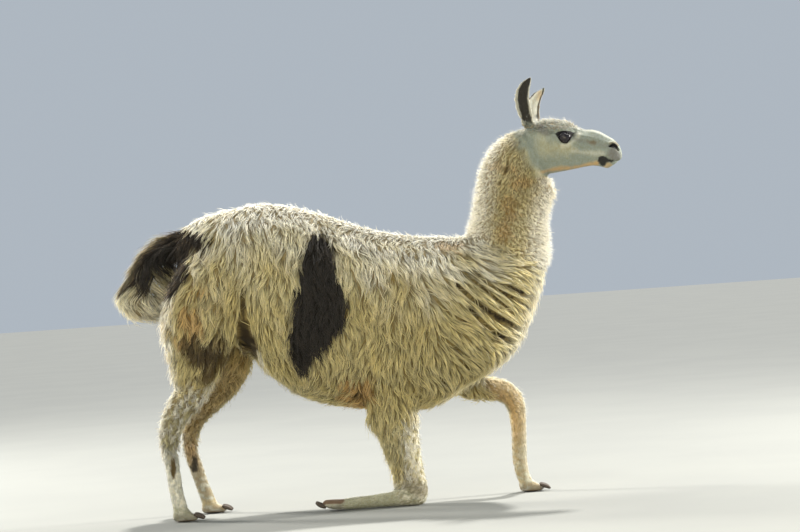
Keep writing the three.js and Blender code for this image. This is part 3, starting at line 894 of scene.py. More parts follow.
def shape_lids(own):
    """Lays the skin round each eye over the eyeball, opens the gap and folds the lids."""
    lid_reach = 16

    def fold(height, at, wide):
        return height * np.exp(-(((gap + at) / wide) ** 2))

    for side in (-1, 1):
        gap, rel = lid_distance(own, side)
        radius = np.linalg.norm(rel, axis=1)
        upper = step(-4, 6, rel[:, 2])
        lid = LID_RADIUS - 6.0 * step(-0.3, 1.5, gap) + fold(0.5, 2.4, 1.6)
        lid -= fold(0.8 + 1.2 * upper, 7.5, 1.6)
        lid += fold(0.6 + 0.8 * upper, 12, 2.6)
        share = step(-lid_reach, -5, gap)
        wanted = radius * (1 - share) + lid * share
        rel *= (wanted / np.maximum(radius, 1e-6))[:, None]
        rel[:, 1] *= side
        changed = gap > -lid_reach
        own[changed] = (rel + EYE_CENTRE * (1, side, 1))[changed]
    return own


def shape_face(own, nrm):
    """Nostrils, mouth, the cleft of the upper lip, and the hollows and ridges of the face."""
    sided = on_left(own)
    push = sum(
        height * np.exp(-((away(sided, line) / wide) ** 2)) for line, height, wide in FACE_RELIEF
    )
    return own + nrm * push[:, None]


def bare_places(co, part, rows):
    """Black skin, how deep in the fleece the skin lies, and the pads."""
    own = turned(co, back=True)
    sided = on_left(own)
    flat = sided[:, [0, 2]]
    corner = inside(flat, MOUTH_DARK) + ripple(co, 9, 14)
    black = np.max([
        step(-4.2, -2.6, lid_gap(own)),
        # Black skin round the eyes, partly painted shade under the upper lids.
        step(-1.0, 1.0, inside(flat - EYE_CENTRE[[0, 2]], LID_BLACK)) * (sided[:, 1] > 38),
        step(-1.4, 1.2, inside(flat, NOSTRIL_DARK)) * step(15, 19, sided[:, 1]),
        0.95 * step(-3.5, 2.5, corner) * step(4, 9, sided[:, 1]),
        step(2.2, 1.2, away(sided, MOUTH)),
    ], axis=0)
    black *= past_jaw(co) > 20
    x, _, z = co.T
    sole = is_part(part, "foot") & (z < 5)
    upturned = (part == PART["foreleg_right_foot"]) & (x > -232) & (z > 24)
    pad = np.where(sole | upturned, 0.9, 0.0)
    # How deep the skin lies in the fleece, for its painted shade.
    under = step(4, 14, rows[:, COLUMN["depth"]])
    return np.stack([black, under, pad, np.zeros(len(co))], 1)


def painted(marks, places, across, wander):
    """The share of each tone that a table of marks gives, at places seen from the side."""
    shares = {tone: np.zeros(len(places)) for tone in TONES}
    for mark in marks:
        points = np.array(mark.points, float)
        room = mark.reach + mark.soft + 30
        near = (places > points.min(0) - room).all(1) & (places < points.max(0) + room).all(1)
        if mark.side:
            near &= across * mark.side > 0
        flat = places[near]
        depth = mark.reach - away(flat, points) if mark.reach else inside(flat, points)
        value = mark.share * step(-mark.soft, mark.soft, depth + wander[near] * mark.soft / 6)
        shares[mark.tone][near] = np.maximum(shares[mark.tone][near], value)
    return shares


class Markings:
    """The share of each tone of the coat at each place. Rules raise tones in turn, and a few lower one again."""

    def __init__(self, co, nrm, part):
        self.co, self.nrm, self.part = co, nrm, part
        self.shares = {tone: np.zeros(len(co)) for tone in TONES}
        self.wander = 7 * ripple(co, 70, 1) + 4 * ripple(co, 24, 2)
        self.facing = step(-62, 2, before_jaw(co) + 8 * ripple(co, 34, 5) + 0.6 * self.wander)
        self.specks, self.mottle = ripple(co, 13, 13), ripple(co, 24, 9)

    def on(self, *endings):
        return is_part(self.part, *endings)

    def add(self, tone, values):
        self.shares[tone] = np.maximum(self.shares[tone], values)

    def body(self):
        """Paler along the back (sun-bleached, and painted light from above), painted rim light on the neck's
        edges, yellower low on the sides (partly painted bounce light).
        """
        x, _, z = self.co.T
        ahead, _, up = self.nrm.T
        neck, trunk, short_of_face = self.on("neck"), self.on("trunk"), 1 - self.facing
        # The back's top is paler: partly sun-bleached fleece, partly painted light from above.
        top = step(0.05, 1.0, up + 0.16 * ripple(self.co, 90, 4))
        top = top * step(895, 975, z + 400 * step(-630, -530, x))
        # Painted rim light on the front and back edges of the neck.
        rims = step(0.12, 0.62, np.abs(ahead)) * (1 - 0.8 * step(-0.2, -0.8, up))
        self.add("bleach", 0.95 * top * (trunk | self.on("thigh")))
        self.add("bleach", 0.95 * neck * rims * short_of_face)
        # Painted rim light on the front of the chest and the backs of the thighs.
        self.add("bleach", 0.6 * trunk * step(0.35, 0.8, ahead))
        self.add("bleach", 0.85 * self.on("thigh", "shank") * step(-0.4, -0.85, ahead))
        # Yellower low on the sides: partly the fleece's own tone, partly painted yellow bounce light from below.
        low = step(990, 560, z + 3 * self.wander)
        self.add("tan", 0.72 * low * self.on("trunk", "neck", "thigh", "shank"))
        self.add("tan", 0.35 * neck * step(900, 1000, z) * short_of_face)
        broad = step(0.7, 0.35, np.abs(ahead))
        self.add("rust", 0.5 * neck * step(0.8, 1.3, self.specks) * broad * short_of_face)

    def legs(self):
        """Mottled and stained, with warm insides and grey lower down."""
        _, y, z = self.co.T
        legs, short = self.on("thigh", "shank", "cannon", "foot", "forearm"), self.on("cannon", "foot")
        inner = -np.sign(y) * self.nrm[:, 1]
        stains = step(0.9, 1.5, ripple(self.co, 15, 10)) * step(0.62, 0.4, z / 1000)
        self.add("tan", (0.5 - 0.4 * short) * legs * step(0.2, 1.0, self.mottle))
        lying = self.on("foreleg_right_cannon")
        self.add("bleach", 0.5 * short * step(0.0, 0.9, -self.mottle) * (1 - 0.8 * lying))
        self.add("rust", (0.35 - 0.3 * short) * legs * stains)
        self.add("warm", 0.7 * legs * step(0.1, 0.7, inner) * step(60, 240, z))
        self.add("warm", 0.35 * (y > 0) * short * step(-0.2, 0.5, self.mottle + 0.4))
        hock = self.on(*(f"{leg}_{bone}" for leg in LEGS[:2] for bone in ("shank", "cannon")))
        curls = step(-0.6, 0.5, self.specks + 0.5 * self.mottle) * step(500, 400, z)
        self.add("grey", 0.72 * short * step(330, 190, z) + 0.3 * hock * step(460, 330, z))
        self.add("bleach", 0.85 * hock * curls * (y < 0))
        self.add("bleach", 0.5 * self.on("hindleg_right_cannon") * step(300, 230, z))

    def kneeling_leg(self):
        """The right foreleg's shin, and its cannon and knee, which lie on the ground."""
        x, _, z = self.co.T
        lying = self.on("foreleg_right_cannon")
        knee = lying * step(20, 50, x)
        grain = ripple(self.co, 11, 17)
        self.add("grey", 0.7 * lying)
        self.add("tan", 0.35 * lying)
        self.add("bleach", 0.7 * knee * step(-0.2, 0.6, grain))
        self.add("rust", 0.45 * knee * step(0.3, 0.9, -grain))
        shin = self.on("foreleg_right_forearm") * np.maximum(step(46, 74, x), step(110, 60, z))
        shin = shin * step(330, 250, z)
        self.add("grey", 0.3 * shin)
        self.add("bleach", 0.95 * shin * step(-0.7, 0.4, self.specks))
        self.add("rust", 0.4 * shin * step(0.7, 1.3, -self.specks))

    def left_legs(self):
        """A foreleg that is paler on its upper side, and a less warm hind leg. All toes are dusky."""
        x, _, z = self.co.T
        leg = self.on("foreleg_left_forearm", "foreleg_left_cannon")
        upper = 0.7 * self.nrm[:, 2] + 0.6 * self.nrm[:, 0]
        pale = np.maximum(0.8 * step(-0.1, 0.7, self.specks), step(-0.2, 0.5, upper))
        self.add("bleach", 0.34 * leg * pale)
        self.add("grey", 0.5 * leg)
        self.add("warm", 0.55 * leg * step(0.2, 1.0, self.mottle) * step(300, 240, z))
        self.add("rust", 0.3 * leg * step(0.5, 1.3, -self.specks))
        self.shares["warm"] *= 1 - 0.4 * self.on("hindleg_left_thigh", "hindleg_left_shank")
        self.shares["warm"] *= 1 - 0.45 * leg * step(-0.3, 0.4, upper)
        self.add("dusk", 0.7 * self.on("foreleg_left_foot") * step(490, 530, x))
        self.add("dusk", 0.45 * self.on("foot") * step(42, 14, z))

    def tail(self):
        """Dark, with a warm upper edge of painted sunlight and a pale end."""
        x, _, z = self.co.T
        ahead, _, up = self.nrm.T
        tail = self.on("tail")
        # The upper edge, which faces the light, gets painted warm sunlight.
        edge = tail * step(0.5, 1.0, 0.75 * up - 0.6 * ahead)
        high = tail * step(-24, 8, z - 798 - 0.2 * (x + 795) + 1.3 * self.wander)
        self.add("dark", high * (1 - 0.2 * edge) * (1 - step(0.3, 0.8, ahead) * step(850, 815, z)))
        self.add("warm", 0.6 * high * edge)
        self.add("dark", 0.85 * tail * step(0.6, 1.1, ripple(self.co, 26, 12)) * step(725, 790, z))
        self.add("bleach", 0.5 * tail * step(790, 730, z + self.wander))

    def head(self):
        """Grey, with the marks of the face, dark hollows in the ears, a stained crown and painted light on the
        head's upper faces.
        """
        head = np.maximum(self.on("head", "ear_left", "ear_right"), self.facing)
        own, tilt = turned(self.co, back=True), turned_direction(self.nrm, back=True)
        ears = ear_share(own)
        # The face's grey is partly painted shade.
        self.add("grey", 0.97 * head)
        marks = painted(HEAD_MARKS, own[:, [0, 2]], own[:, 1], 0.25 * self.wander)
        for tone in TONES:
            self.add(tone, marks[tone] * head)
        outer = tilt[:, 1] * np.sign(own[:, 1])
        hollow = ears * step(0.05, 0.4, outer)
        self.add("dark", hollow * (0.95 - 0.25 * step(-0.45, -0.85, tilt[:, 0])))
        self.add("warm", 0.6 * hollow * step(-0.45, -0.85, tilt[:, 0]))
        self.shares["grey"] *= 1 - 0.45 * marks["tan"] * head
        crown = step(1212, 1244, own[:, 2]) * (1 - ears)
        speckle = ripple(self.co, 9, 11)
        # The crown and the upper faces of the head are paler: painted light from above, broken on the crown by
        # speckles.
        self.add("bleach", head * 0.3 * crown * step(0.3, 0.95, tilt[:, 2]) * step(0.6, -0.4, speckle))
        self.add("bleach", head * 0.25 * step(0.55, 1.0, tilt[:, 2]))
        self.add("bleach", 0.65 * ears * step(0.2, -0.05, outer))
        self.add("rust", 0.55 * head * crown * step(0.5, 1.2, speckle))
        self.add("warm", 0.35 * head * crown * step(0.2, 1.0, -speckle))
        front = step(700, 800, own[:, 0]) * head
        self.add("dusk", 0.22 * front * step(0.3, 1.2, ripple(self.co, 11, 14)))
        self.add("bleach", 0.04 * head * step(0.2, 1.0, ripple(self.co, 19, 15)))
        self.add("tan", 0.3 * head * step(-0.1, 0.9, ripple(self.co, 38, 16)))


def markings(co, nrm, part):
    """A column for each tone."""
    coat = Markings(co, nrm, part)
    coat.body()
    coat.legs()
    coat.kneeling_leg()
    coat.left_legs()
    coat.tail()
    for tone, values in painted(BODY_MARKS, co[:, [0, 2]], co[:, 1], coat.wander).items():
        coat.add(tone, values)
    coat.head()
    shares = coat.shares
    shares["bleach"] *= 1 - 0.8 * np.maximum(shares["dark"], shares["parting"])
    return np.clip(np.stack([shares[tone] for tone in TONES], 1), 0, 1)


def sink(mesh, depth, edges):
    """Moves the skin in by the coat's depth, a little at a time, evened most where the coat is deep."""
    stages, deep, evening = 6, 10, 0.6
    co = get(mesh)
    share = np.clip(depth / deep, 0, 1)[:, None] * evening
    for _ in range(stages):
        co -= normals_of(mesh) * (depth / stages)[:, None]
        co += (spread(co, edges, 1, 1.0) - co) * share
        put(mesh, co)
    return co


def unwrap(piece):
    """An unwrap of the skin's own shape, named OFBake."""
    piece.data.uv_layers.new(name="OFBake")
    bpy.context.view_layer.objects.active = piece
    piece.select_set(True)
    bpy.ops.object.mode_set(mode="EDIT")
    bpy.ops.mesh.select_all(action="SELECT")
    bpy.ops.uv.smart_project(angle_limit=math.radians(70), island_margin=0.002)
    bpy.ops.object.mode_set(mode="OBJECT")
    piece.select_set(False)


def make_skin():
    """The skin, inside the flesh nodes by the coat's depth, and all that the coat needs to know of it."""
    mesh = joined_skin()
    co = get(mesh)
    edges = read(mesh, "edges", "vertices", 2, np.int32)
    nrm = normals_of(mesh)
    part = parts_near(co)
    rows = coat_rows(co, nrm, part, edges)
    depth = rows[:, COLUMN["depth"]] + SWELL
    depth += spread(EAR_SWELL * is_part(part, "ear_left", "ear_right"), edges, 6)
    co = sink(mesh, depth, edges)
    own = turned(co, back=True)
    own = shape_face(own, turned_direction(normals_of(mesh), back=True))
    own = shape_lids(own)
    head = past_jaw(co) > 10
    co[head] = turned(own)[head]
    co[:, 2] = np.maximum(co[:, 2], SKIN_LOW)
    put(mesh, co)
    nrm = normals_of(mesh)
    piece = add_piece("skin", mesh, "short_hair", *FLESH)
    smooth_faces(mesh)
    unwrap(piece)
    store_marks(mesh, markings(co, nrm, part))
    store(mesh, "bare", "FLOAT_COLOR", bare_places(co, part, rows))
    store(mesh, "lie", "FLOAT_VECTOR", lie(co, nrm, part, edges))
    store(mesh, "part", "INT", part)
    for field, column in COLUMN.items():
        store(mesh, "coat_" + field, "FLOAT", rows[:, column])
    mesh.materials.append(finish_named("hide"))


# ---- coat ----
class Hide:
    """The finished skin, as the coat reads it."""

    def __init__(self):
        mesh = bpy.data.objects["skin"].data
        mesh.calc_loop_triangles()
        self.co, self.nrm = get(mesh), normals_of(mesh)
        self.tris = read(mesh, "loop_triangles", "vertices", 3, np.int32)
        corner_of_map = read(mesh, "loop_triangles", "loops", 3, np.int32)
        self.uv = read(mesh.uv_layers["OFBake"], "data", "uv", 2)[corner_of_map]
        corners = self.co[self.tris]
        a, b, c = corners.transpose(1, 0, 2)
        self.middle = corners.mean(1)
        self.area = np.linalg.norm(np.cross(b - a, c - a), axis=1) / 2
        bare = stored(mesh, "bare")
        self.bare, self.pad = bare[:, 0], bare[:, 2]
        self.parting = stored(mesh, "marks2")[:, TONES.index("parting") - 4]
        self.rows = np.stack([stored(mesh, "coat_" + field) for field in COLUMN], 1).astype(float)
        self.tree = BVHTree.FromPolygons(self.co.tolist(), self.tris.tolist())
        self.tri_part = stored(mesh, "part")[self.tris[:, 0]]
        self.tri_lie = unit(stored(mesh, "lie").astype(float)[self.tris].sum(1))
        self.tri_length = self.rows[self.tris, COLUMN["length"]].mean(1)
        self.order = self.near_each_other()

    def near_each_other(self):
        """The triangles in an order that keeps neighbours together: by cells, along a Z-shaped curve."""
        cell_size, bits = 6, 9
        cell = ((self.middle - self.middle.min(0)) / cell_size).astype(np.int64)
        key = np.zeros(len(cell), np.int64)
        for bit in range(bits):
            for axis in range(3):
                key |= ((cell[:, axis] >> bit) & 1) << (3 * bit + axis)
        return np.argsort(key, kind="stable")

    def nearest(self, points):
        found = [self.tree.find_nearest(p) for p in points.tolist()]
        places = np.array([f[0][:] for f in found])
        faces = np.array([f[2] for f in found])
        return places, unit(self.nrm[self.tris[faces]].sum(1)), self.tri_lie[faces]

    def scatter(self, chosen, spacing, rng):
        """Evenly spread places on the chosen triangles: triangle numbers and the corners' shares."""
        hairy = (self.bare[self.tris].max(1) < 0.35) & (self.pad[self.tris].max(1) < 0.5)
        hairy &= self.parting[self.tris].mean(1) < 0.4
        rate = self.area / np.maximum(spacing, 0.5) ** 2 * (chosen & hairy)
        total = np.cumsum(rate[self.order])
        marks = np.arange(int(total[-1])) + rng.random(int(total[-1]))
        faces = self.order[np.searchsorted(total, marks).clip(max=len(total) - 1)]
        a, b = np.sqrt(rng.random(len(faces))), rng.random(len(faces))
        return faces, np.stack([1 - a, a * (1 - b), a * b], 1)

    def at(self, values, faces, shares):
        return (values[self.tris[faces]] * shares[:, :, None]).sum(1)


@functools.cache
def hide():
    return Hide()


def combed(skin, start, up, row, steps, rng):
    """Centre lines of locks: they rise out of the skin and lie along it, the way the hair lies."""
    length = row["length"] * rng.uniform(0.75, 1.15, len(start))
    way = skin.nearest(start)[2]
    side = np.cross(up, way)
    swing = (rng.normal(size=len(start)) * row["unruly"])[:, None]
    way = unit(way + side * swing)
    tall = rng.uniform(0.72, 1.06, len(start))
    path, ups = [start], [up]
    point = start
    for k in range(1, steps + 1):
        t = k / steps
        guess = point + way * (length / steps)[:, None]
        place, normal, flow = skin.nearest(guess)
        high = row["depth"] * tall * (1 - (1 - t) ** 2.0) * (1 - 0.12 * t)  # steep at the root, then level
        on = place + normal * high[:, None]
        hang = row["hang"][:, None]
        down = guess + np.array([0, 0, -1.0]) * (length / steps * 0.25)[:, None]
        point = on * (1 - hang) + down * hang
        flow = unit(flow + np.cross(normal, flow) * swing)
        way = unit(0.45 * way + 0.55 * flow)
        path.append(point)
        ups.append(normal)
    return np.stack(path, 1), np.stack(ups, 1)


def along_path(path, share):
    """Points at a share of the way along each path."""
    last = path.shape[1] - 1
    place = np.clip(share * last, 0, last - 1e-6)
    low = place.astype(int)
    rest = (place - low)[..., None]
    rows = np.arange(len(path))[:, None]
    return path[rows, low] * (1 - rest) + path[rows, low + 1] * rest


def nearest_locks(guides, roots):
    """The lock of each tuft, and where it stands in it: 1 between two locks, and 0 in the middle of one."""
    tree = KDTree(len(guides))
    for k, p in enumerate(guides.tolist()):
        tree.insert(p, k)
    tree.balance()
    found = [tree.find_n(p, 2) for p in roots.tolist()]
    owner = np.array([two[0][1] for two in found])
    return owner, step(0.72, 1.0, np.array([two[0][2] / max(two[1][2], 0.01) for two in found]))


def tuft_points(points, side, up, width, rings):
    """Three points round each place of a tuft's line but the last, which is its tip."""
    wide = width[..., None] / 2
    low = up * wide * 0.35
    ring = np.stack([points - side * wide - low, points + up * wide * 0.8, points + side * wide - low], 2)
    verts = np.concatenate([ring[:, :rings].reshape(len(points), -1, 3), points[:, rings:]], 1)
    verts[..., 2] = np.maximum(verts[..., 2], TUFT_LOW)
    return verts


def tuft_mesh(name, verts, rings):
    """One mesh of all the tufts, and the point that each corner of its faces is at."""
    count, each, _ = verts.shape
    last = 3 * (rings - 1)
    faces = [
        (3 * r + s, 3 * r + (s + 1) % 3, 3 * (r + 1) + (s + 1) % 3, 3 * (r + 1) + s)
        for r in range(rings - 1)
        for s in range(3)
    ]
    faces += [(last + s, last + (s + 1) % 3, each - 1) for s in range(3)]
    triangles = count * sum(len(face) - 2 for face in faces)
    if triangles >= TRIANGLE_LIMIT:
        raise RuntimeError(f"{name} has {triangles} triangles, over the limit of one piece")
    corners = (np.arange(count)[:, None] * each + np.concatenate(faces)).ravel()
    starts = np.concatenate([[0], np.cumsum(np.tile([len(face) for face in faces], count))[:-1]])

    mesh = bpy.data.meshes.new(name)
    mesh.vertices.add(count * each)
    mesh.vertices.foreach_set("co", (verts * MM).astype(np.float32).ravel())
    mesh.loops.add(len(corners))
    mesh.loops.foreach_set("vertex_index", corners.astype(np.int32))
    mesh.polygons.add(len(starts))
    mesh.polygons.foreach_set("loop_start", starts.astype(np.int32))
    mesh.update(calc_edges=True)
    smooth_faces(mesh)
    return mesh, corners


def grow_coat(name, slot, chosen, rings, seed):
    """One piece of coat: tapered tufts of three sides, gathered in locks."""
    skin = hide()
    rng = np.random.default_rng(seed)
    sizes = bpy.context.scene.llama_coat

    def row_at(faces, shares):
        values = skin.at(skin.rows, faces, shares)
        row = {field: values[:, column] for field, column in COLUMN.items()}
        row["length"] = row["length"] * sizes.length
        row["width"] = row["width"] * sizes.width
        return row

    tri_rows = skin.rows[skin.tris].mean(1)
    faces, shares = skin.scatter(chosen, tri_rows[:, COLUMN["gap"]] * sizes.spacing, rng)
    guide_faces, guide_shares = skin.scatter(chosen, tri_rows[:, COLUMN["lock"]], rng)
    roots = skin.at(skin.co, faces, shares)
    root_up = unit(skin.at(skin.nrm, faces, shares))
    guides = skin.at(skin.co, guide_faces, guide_shares)
    guide_up = unit(skin.at(skin.nrm, guide_faces, guide_shares))
    path, ups = combed(skin, guides, guide_up, row_at(guide_faces, guide_shares), COMB_STEPS, rng)
    owner, rim = nearest_locks(guides, roots)

    row = row_at(faces, shares)
    count = len(roots)
    reach = rng.uniform(0.7, 1.0, count)
    t = np.linspace(0, 1, rings + 1) ** 0.9
    share = reach[:, None] * t
    middle = along_path(path[owner], share)
    up = unit(along_path(ups[owner], share))
    ahead = unit(np.gradient(middle, axis=1))
    side = unit(np.cross(ahead, up))
    up = np.cross(side, ahead)

    gather = row["gather"] * rng.uniform(0.75, 1.0, count)
    stray = rng.random(count) < row["stray"]
    gather[stray] *= rng.uniform(-0.2, 0.4, stray.sum())
    seen = along_path(path[owner], np.full((count, 1), SEEN_AT))[:, 0]
    tones = markings(seen, root_up, skin.tri_part[faces])
    tones[:, TONES.index("parting")] *= 0.65  # the tufts beside a parting take less of the painted shade of its depths
    offset = (roots - guides[owner])[:, None] * (1 - gather[:, None] * t**1.4)[..., None]
    lift = np.where(stray, rng.uniform(0.9, 1.2, count), rng.uniform(0.55, 1.02, count))
    lift *= 1 - 0.45 * rim * ~stray
    # Stray tufts stand up, and so do the fuzz on the neck's outline and the long fleece behind the rump.
    rise = stray * rng.random(count) ** 1.5 * np.minimum(0.7 * row["length"], 15)
    fuzzy = step(0.6, 0.85, row["unruly"]) * step(0.3, 0.9, np.abs(root_up[:, 0]))
    rise += 15 * fuzzy * rng.random(count)
    if slot == "fleece":
        rear = step(60, 70, row["length"]) * step(-0.35, -0.85, root_up[:, 0])
        rise += 20 * rear * rng.random(count) ** 1.5
    height = row["depth"][:, None] * (1 - (1 - share) ** 2.0) * (lift - 1)[:, None] + rise[:, None] * t**1.5
    phase = (rng.random(len(guides)) * math.tau)[owner] + rng.normal(0, 0.4, count)
    turn = phase[:, None] + math.tau * row["turns"][:, None] * t
    curl = row["curl"][:, None] * t * sizes.curl
    points = middle + offset
    points += side * (curl * np.sin(turn))[..., None]
    points += up * (height + 0.5 * curl * np.cos(turn))[..., None]
    points[:, 0] = roots - root_up * 1.0
    points = parted(points.reshape(-1, 3)).reshape(points.shape)
    if slot == "dark_fleece":
        points = fanned(points.reshape(-1, 3)).reshape(points.shape)

    width = row["width"] * rng.uniform(0.75, 1.25, count) * np.where(stray, 0.6, 1.0)
    taper = np.minimum(0.55 + 2.2 * t, 1.0) * (1 - t**2.4)
    verts = tuft_points(points, side, up, width[:, None] * taper, rings)
    mesh, corners = tuft_mesh(name, verts, rings)
    each = verts.shape[1]

    # Each tuft is a small patch of the map at its root's place on the skin's unwrap.
    place = (skin.uv[faces] * shares[:, :, None]).sum(1)
    along = np.append(np.repeat(t[:rings], 3), 1.0)
    across = np.append(np.tile([-0.5, 0.0, 0.5], rings), 0.0)
    flat = place[:, None] + np.stack([across * PATCH, along * PATCH - PATCH / 2], 1)
    flat = np.clip(flat, 0.0, 1.0).reshape(-1, 2)
    layer = mesh.uv_layers.new(name="OFBake")
    layer.data.foreach_set("uv", flat[corners].astype(np.float32).ravel())

    store_marks(mesh, np.repeat(tones, each, 0))
    tuft = np.empty((count, each, 4))
    tuft[..., 0] = rng.random(count)[:, None]
    start = 0.6 * step(45, 8, row["length"])[:, None]  # short tufts are lit nearly to the root
    tuft[..., 1] = start + (1 - start) * along
    # A random tone for each lock, with painted shade where locks meet.
    tuft[..., 2] = (rng.random(len(guides))[owner] * 0.5 + 0.5 * (1 - rim))[:, None]
    tuft[..., 3] = 1
    store(mesh, "tuft", "FLOAT_COLOR", tuft)
    mesh.materials.append(finish_named("wool"))
    add_piece(name, mesh, slot)


def flesh_on(side, *endings):
    """The skin's triangles on some nodes of one side of the animal."""
    skin = hide()
    y = skin.middle[:, 1]
    return is_part(skin.tri_part, *endings) & ((y < 0) if side < 0 else (y >= 0))


def trunk_quarter(side, front):
    """The skin's triangles on one side of the trunk, before or behind its waist."""
    waist = -40
    x = hide().middle[:, 0]
    return flesh_on(side, "trunk") & ((x >= waist) if front else (x < waist))


# ---- eyes, lashes and toenails ----
def eye_frame(side):
    """The eye's middle, and forwards, up and outwards from it, in the model's frame."""
    centre = turned((EYE_CENTRE * (1, side, 1))[None])[0]
    ahead, up, out = turned_direction(np.array([[1.0, 0, 0], [0, 0, 1.0], [0, side * 1.0, 0]]))
    return centre, ahead, up, out


def make_eyeball(side, name):
    """An eyeball with a bulging cornea."""
    cornea_width, cornea_height = 13.0, 0.9
    centre, ahead, up, out = eye_frame(side)
    bm = bmesh.new()
    bmesh.ops.create_uvsphere(bm, u_segments=40, v_segments=28, radius=EYE_RADIUS)
    for vert in bm.verts:
        bulge = math.exp(-((vert.co.xy.length / cornea_width) ** 2)) if vert.co.z > 0 else 0
        vert.co += vert.co.normalized() * cornea_height * bulge
    own = np.array([v.co[:] for v in bm.verts])
    for vert in bm.verts:
        vert.co = Vector((centre + ahead * vert.co.x + up * vert.co.y + out * vert.co.z) * MM)
    bmesh.ops.recalc_face_normals(bm, faces=bm.faces)
    mesh = mesh_from(bm, name)
    smooth_faces(mesh)
    store(mesh, "gaze", "FLOAT_VECTOR", own / EYE_RADIUS)
    mesh.materials.append(finish_named("eye"))
    add_piece(name, mesh, "eye", "eye_left" if side > 0 else "eye_right")


def add_lash(bm, root, lean, curve, length, up):
    """One tapered lash of three sides, bent by curve."""
    thickness, taper = 0.26, 0.85
    a = unit(np.cross(lean, up))
    b = np.cross(lean, a)
    rings = []
    for t in (0.0, 0.25, 0.5, 0.75, 1.0):
        point = root + lean * length * t + curve * length * t * t
        thick = thickness * (1 - t * taper)
        rings.append([
            bm.verts.new(Vector((point + (a * math.cos(q) + b * math.sin(q)) * thick) * MM))
            for q in (0, math.tau / 3, 2 * math.tau / 3)
        ])
    bm.faces.new(rings[0][::-1])
    for low, high in zip(rings[:-1], rings[1:]):
        for s in range(3):
            bm.faces.new((low[s], low[(s + 1) % 3], high[(s + 1) % 3], high[s]))
    bm.faces.new(rings[-1])


def make_lashes():
    """Long lashes along the upper lids, and a few short ones below."""
    full_length = bpy.context.scene.llama_shape.lash_length / MM
    rng = np.random.default_rng(31)
    bm = bmesh.new()
    gap = arced(LID_GAP)
    for side in SIDES.values():
        centre, ahead, up, out = eye_frame(side)
        upper, lower = (gap[:6], 60, 1.0, 1.0), (gap[6:10], 14, 0.35, -1.0)
        for edge, count, scale, rise in (upper, lower):
            for k in range(count):
                place = (k + rng.random()) / count * (len(edge) - 1)
                low = min(int(place), len(edge) - 2)
                flat = edge[low] + (edge[low + 1] - edge[low]) * (place - low)
                arc = np.linalg.norm(flat) / EYE_RADIUS
                toward = flat / np.linalg.norm(flat) * math.sin(arc)
                outward = unit(ahead * toward[0] + up * toward[1] + out * math.cos(arc))
                root = centre + outward * (LID_RADIUS - 0.6)
                length = full_length * scale * rng.uniform(0.7, 1.1)
                lean = unit(out * 0.8 + ahead * (0.15 + 0.02 * flat[0]) - up * 0.62 + rng.normal(0, 0.07, 3))
                add_lash(bm, root, lean, up * 0.2 * rise - out * 0.05, length, up)
    bmesh.ops.recalc_face_normals(bm, faces=bm.faces)
    mesh = mesh_from(bm, "eyelashes")
    smooth_faces(mesh)
    mesh.materials.append(finish_named("lash"))
    add_piece("eyelashes", mesh, "eye")


def make_toenail(node):
    """A toenail's CAD shape with its edges worn round."""
    bm = bmesh.new()
    bm.from_mesh(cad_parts[node].data)
    bmesh.ops.remove_doubles(bm, verts=bm.verts, dist=MERGE)
    bmesh.ops.subdivide_edges(bm, edges=bm.edges, cuts=2, use_grid_fill=True, smooth=0.2)
    rounds, every_axis = 3, {"use_axis_x": True, "use_axis_y": True, "use_axis_z": True}
    for _ in range(rounds):
        bmesh.ops.smooth_vert(bm, verts=bm.verts, factor=0.5, **every_axis)
    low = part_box(node)[0].z
    for vert in bm.verts:
        vert.co.z = max(vert.co.z, low)
    bmesh.ops.recalc_face_normals(bm, faces=bm.faces)
    mesh = mesh_from(bm, node.replace("nail", "toenail"))
    smooth_faces(mesh)
    mesh.materials.append(finish_named("horn"))
    add_piece(mesh.name, mesh, "toenail", node)


# ---- stage ----
def add_light(name, kind, energy, place, target, colour, size):
    """A sun, whose size is an angle, or a round lamp, whose size is its width."""
    data = bpy.data.lights.new(name, kind)
    data.energy, data.color = energy, colour
    if kind == "AREA":
        data.shape, data.size = "DISK", size
    else:
        data.angle = size
    lamp = bpy.data.objects.new(name, data)
    bpy.context.scene.collection.objects.link(lamp)
    lamp.location = place
    lamp.visible_camera = False
    lamp.rotation_euler = (Vector(target) - Vector(place)).to_track_quat("-Z", "Y").to_euler()


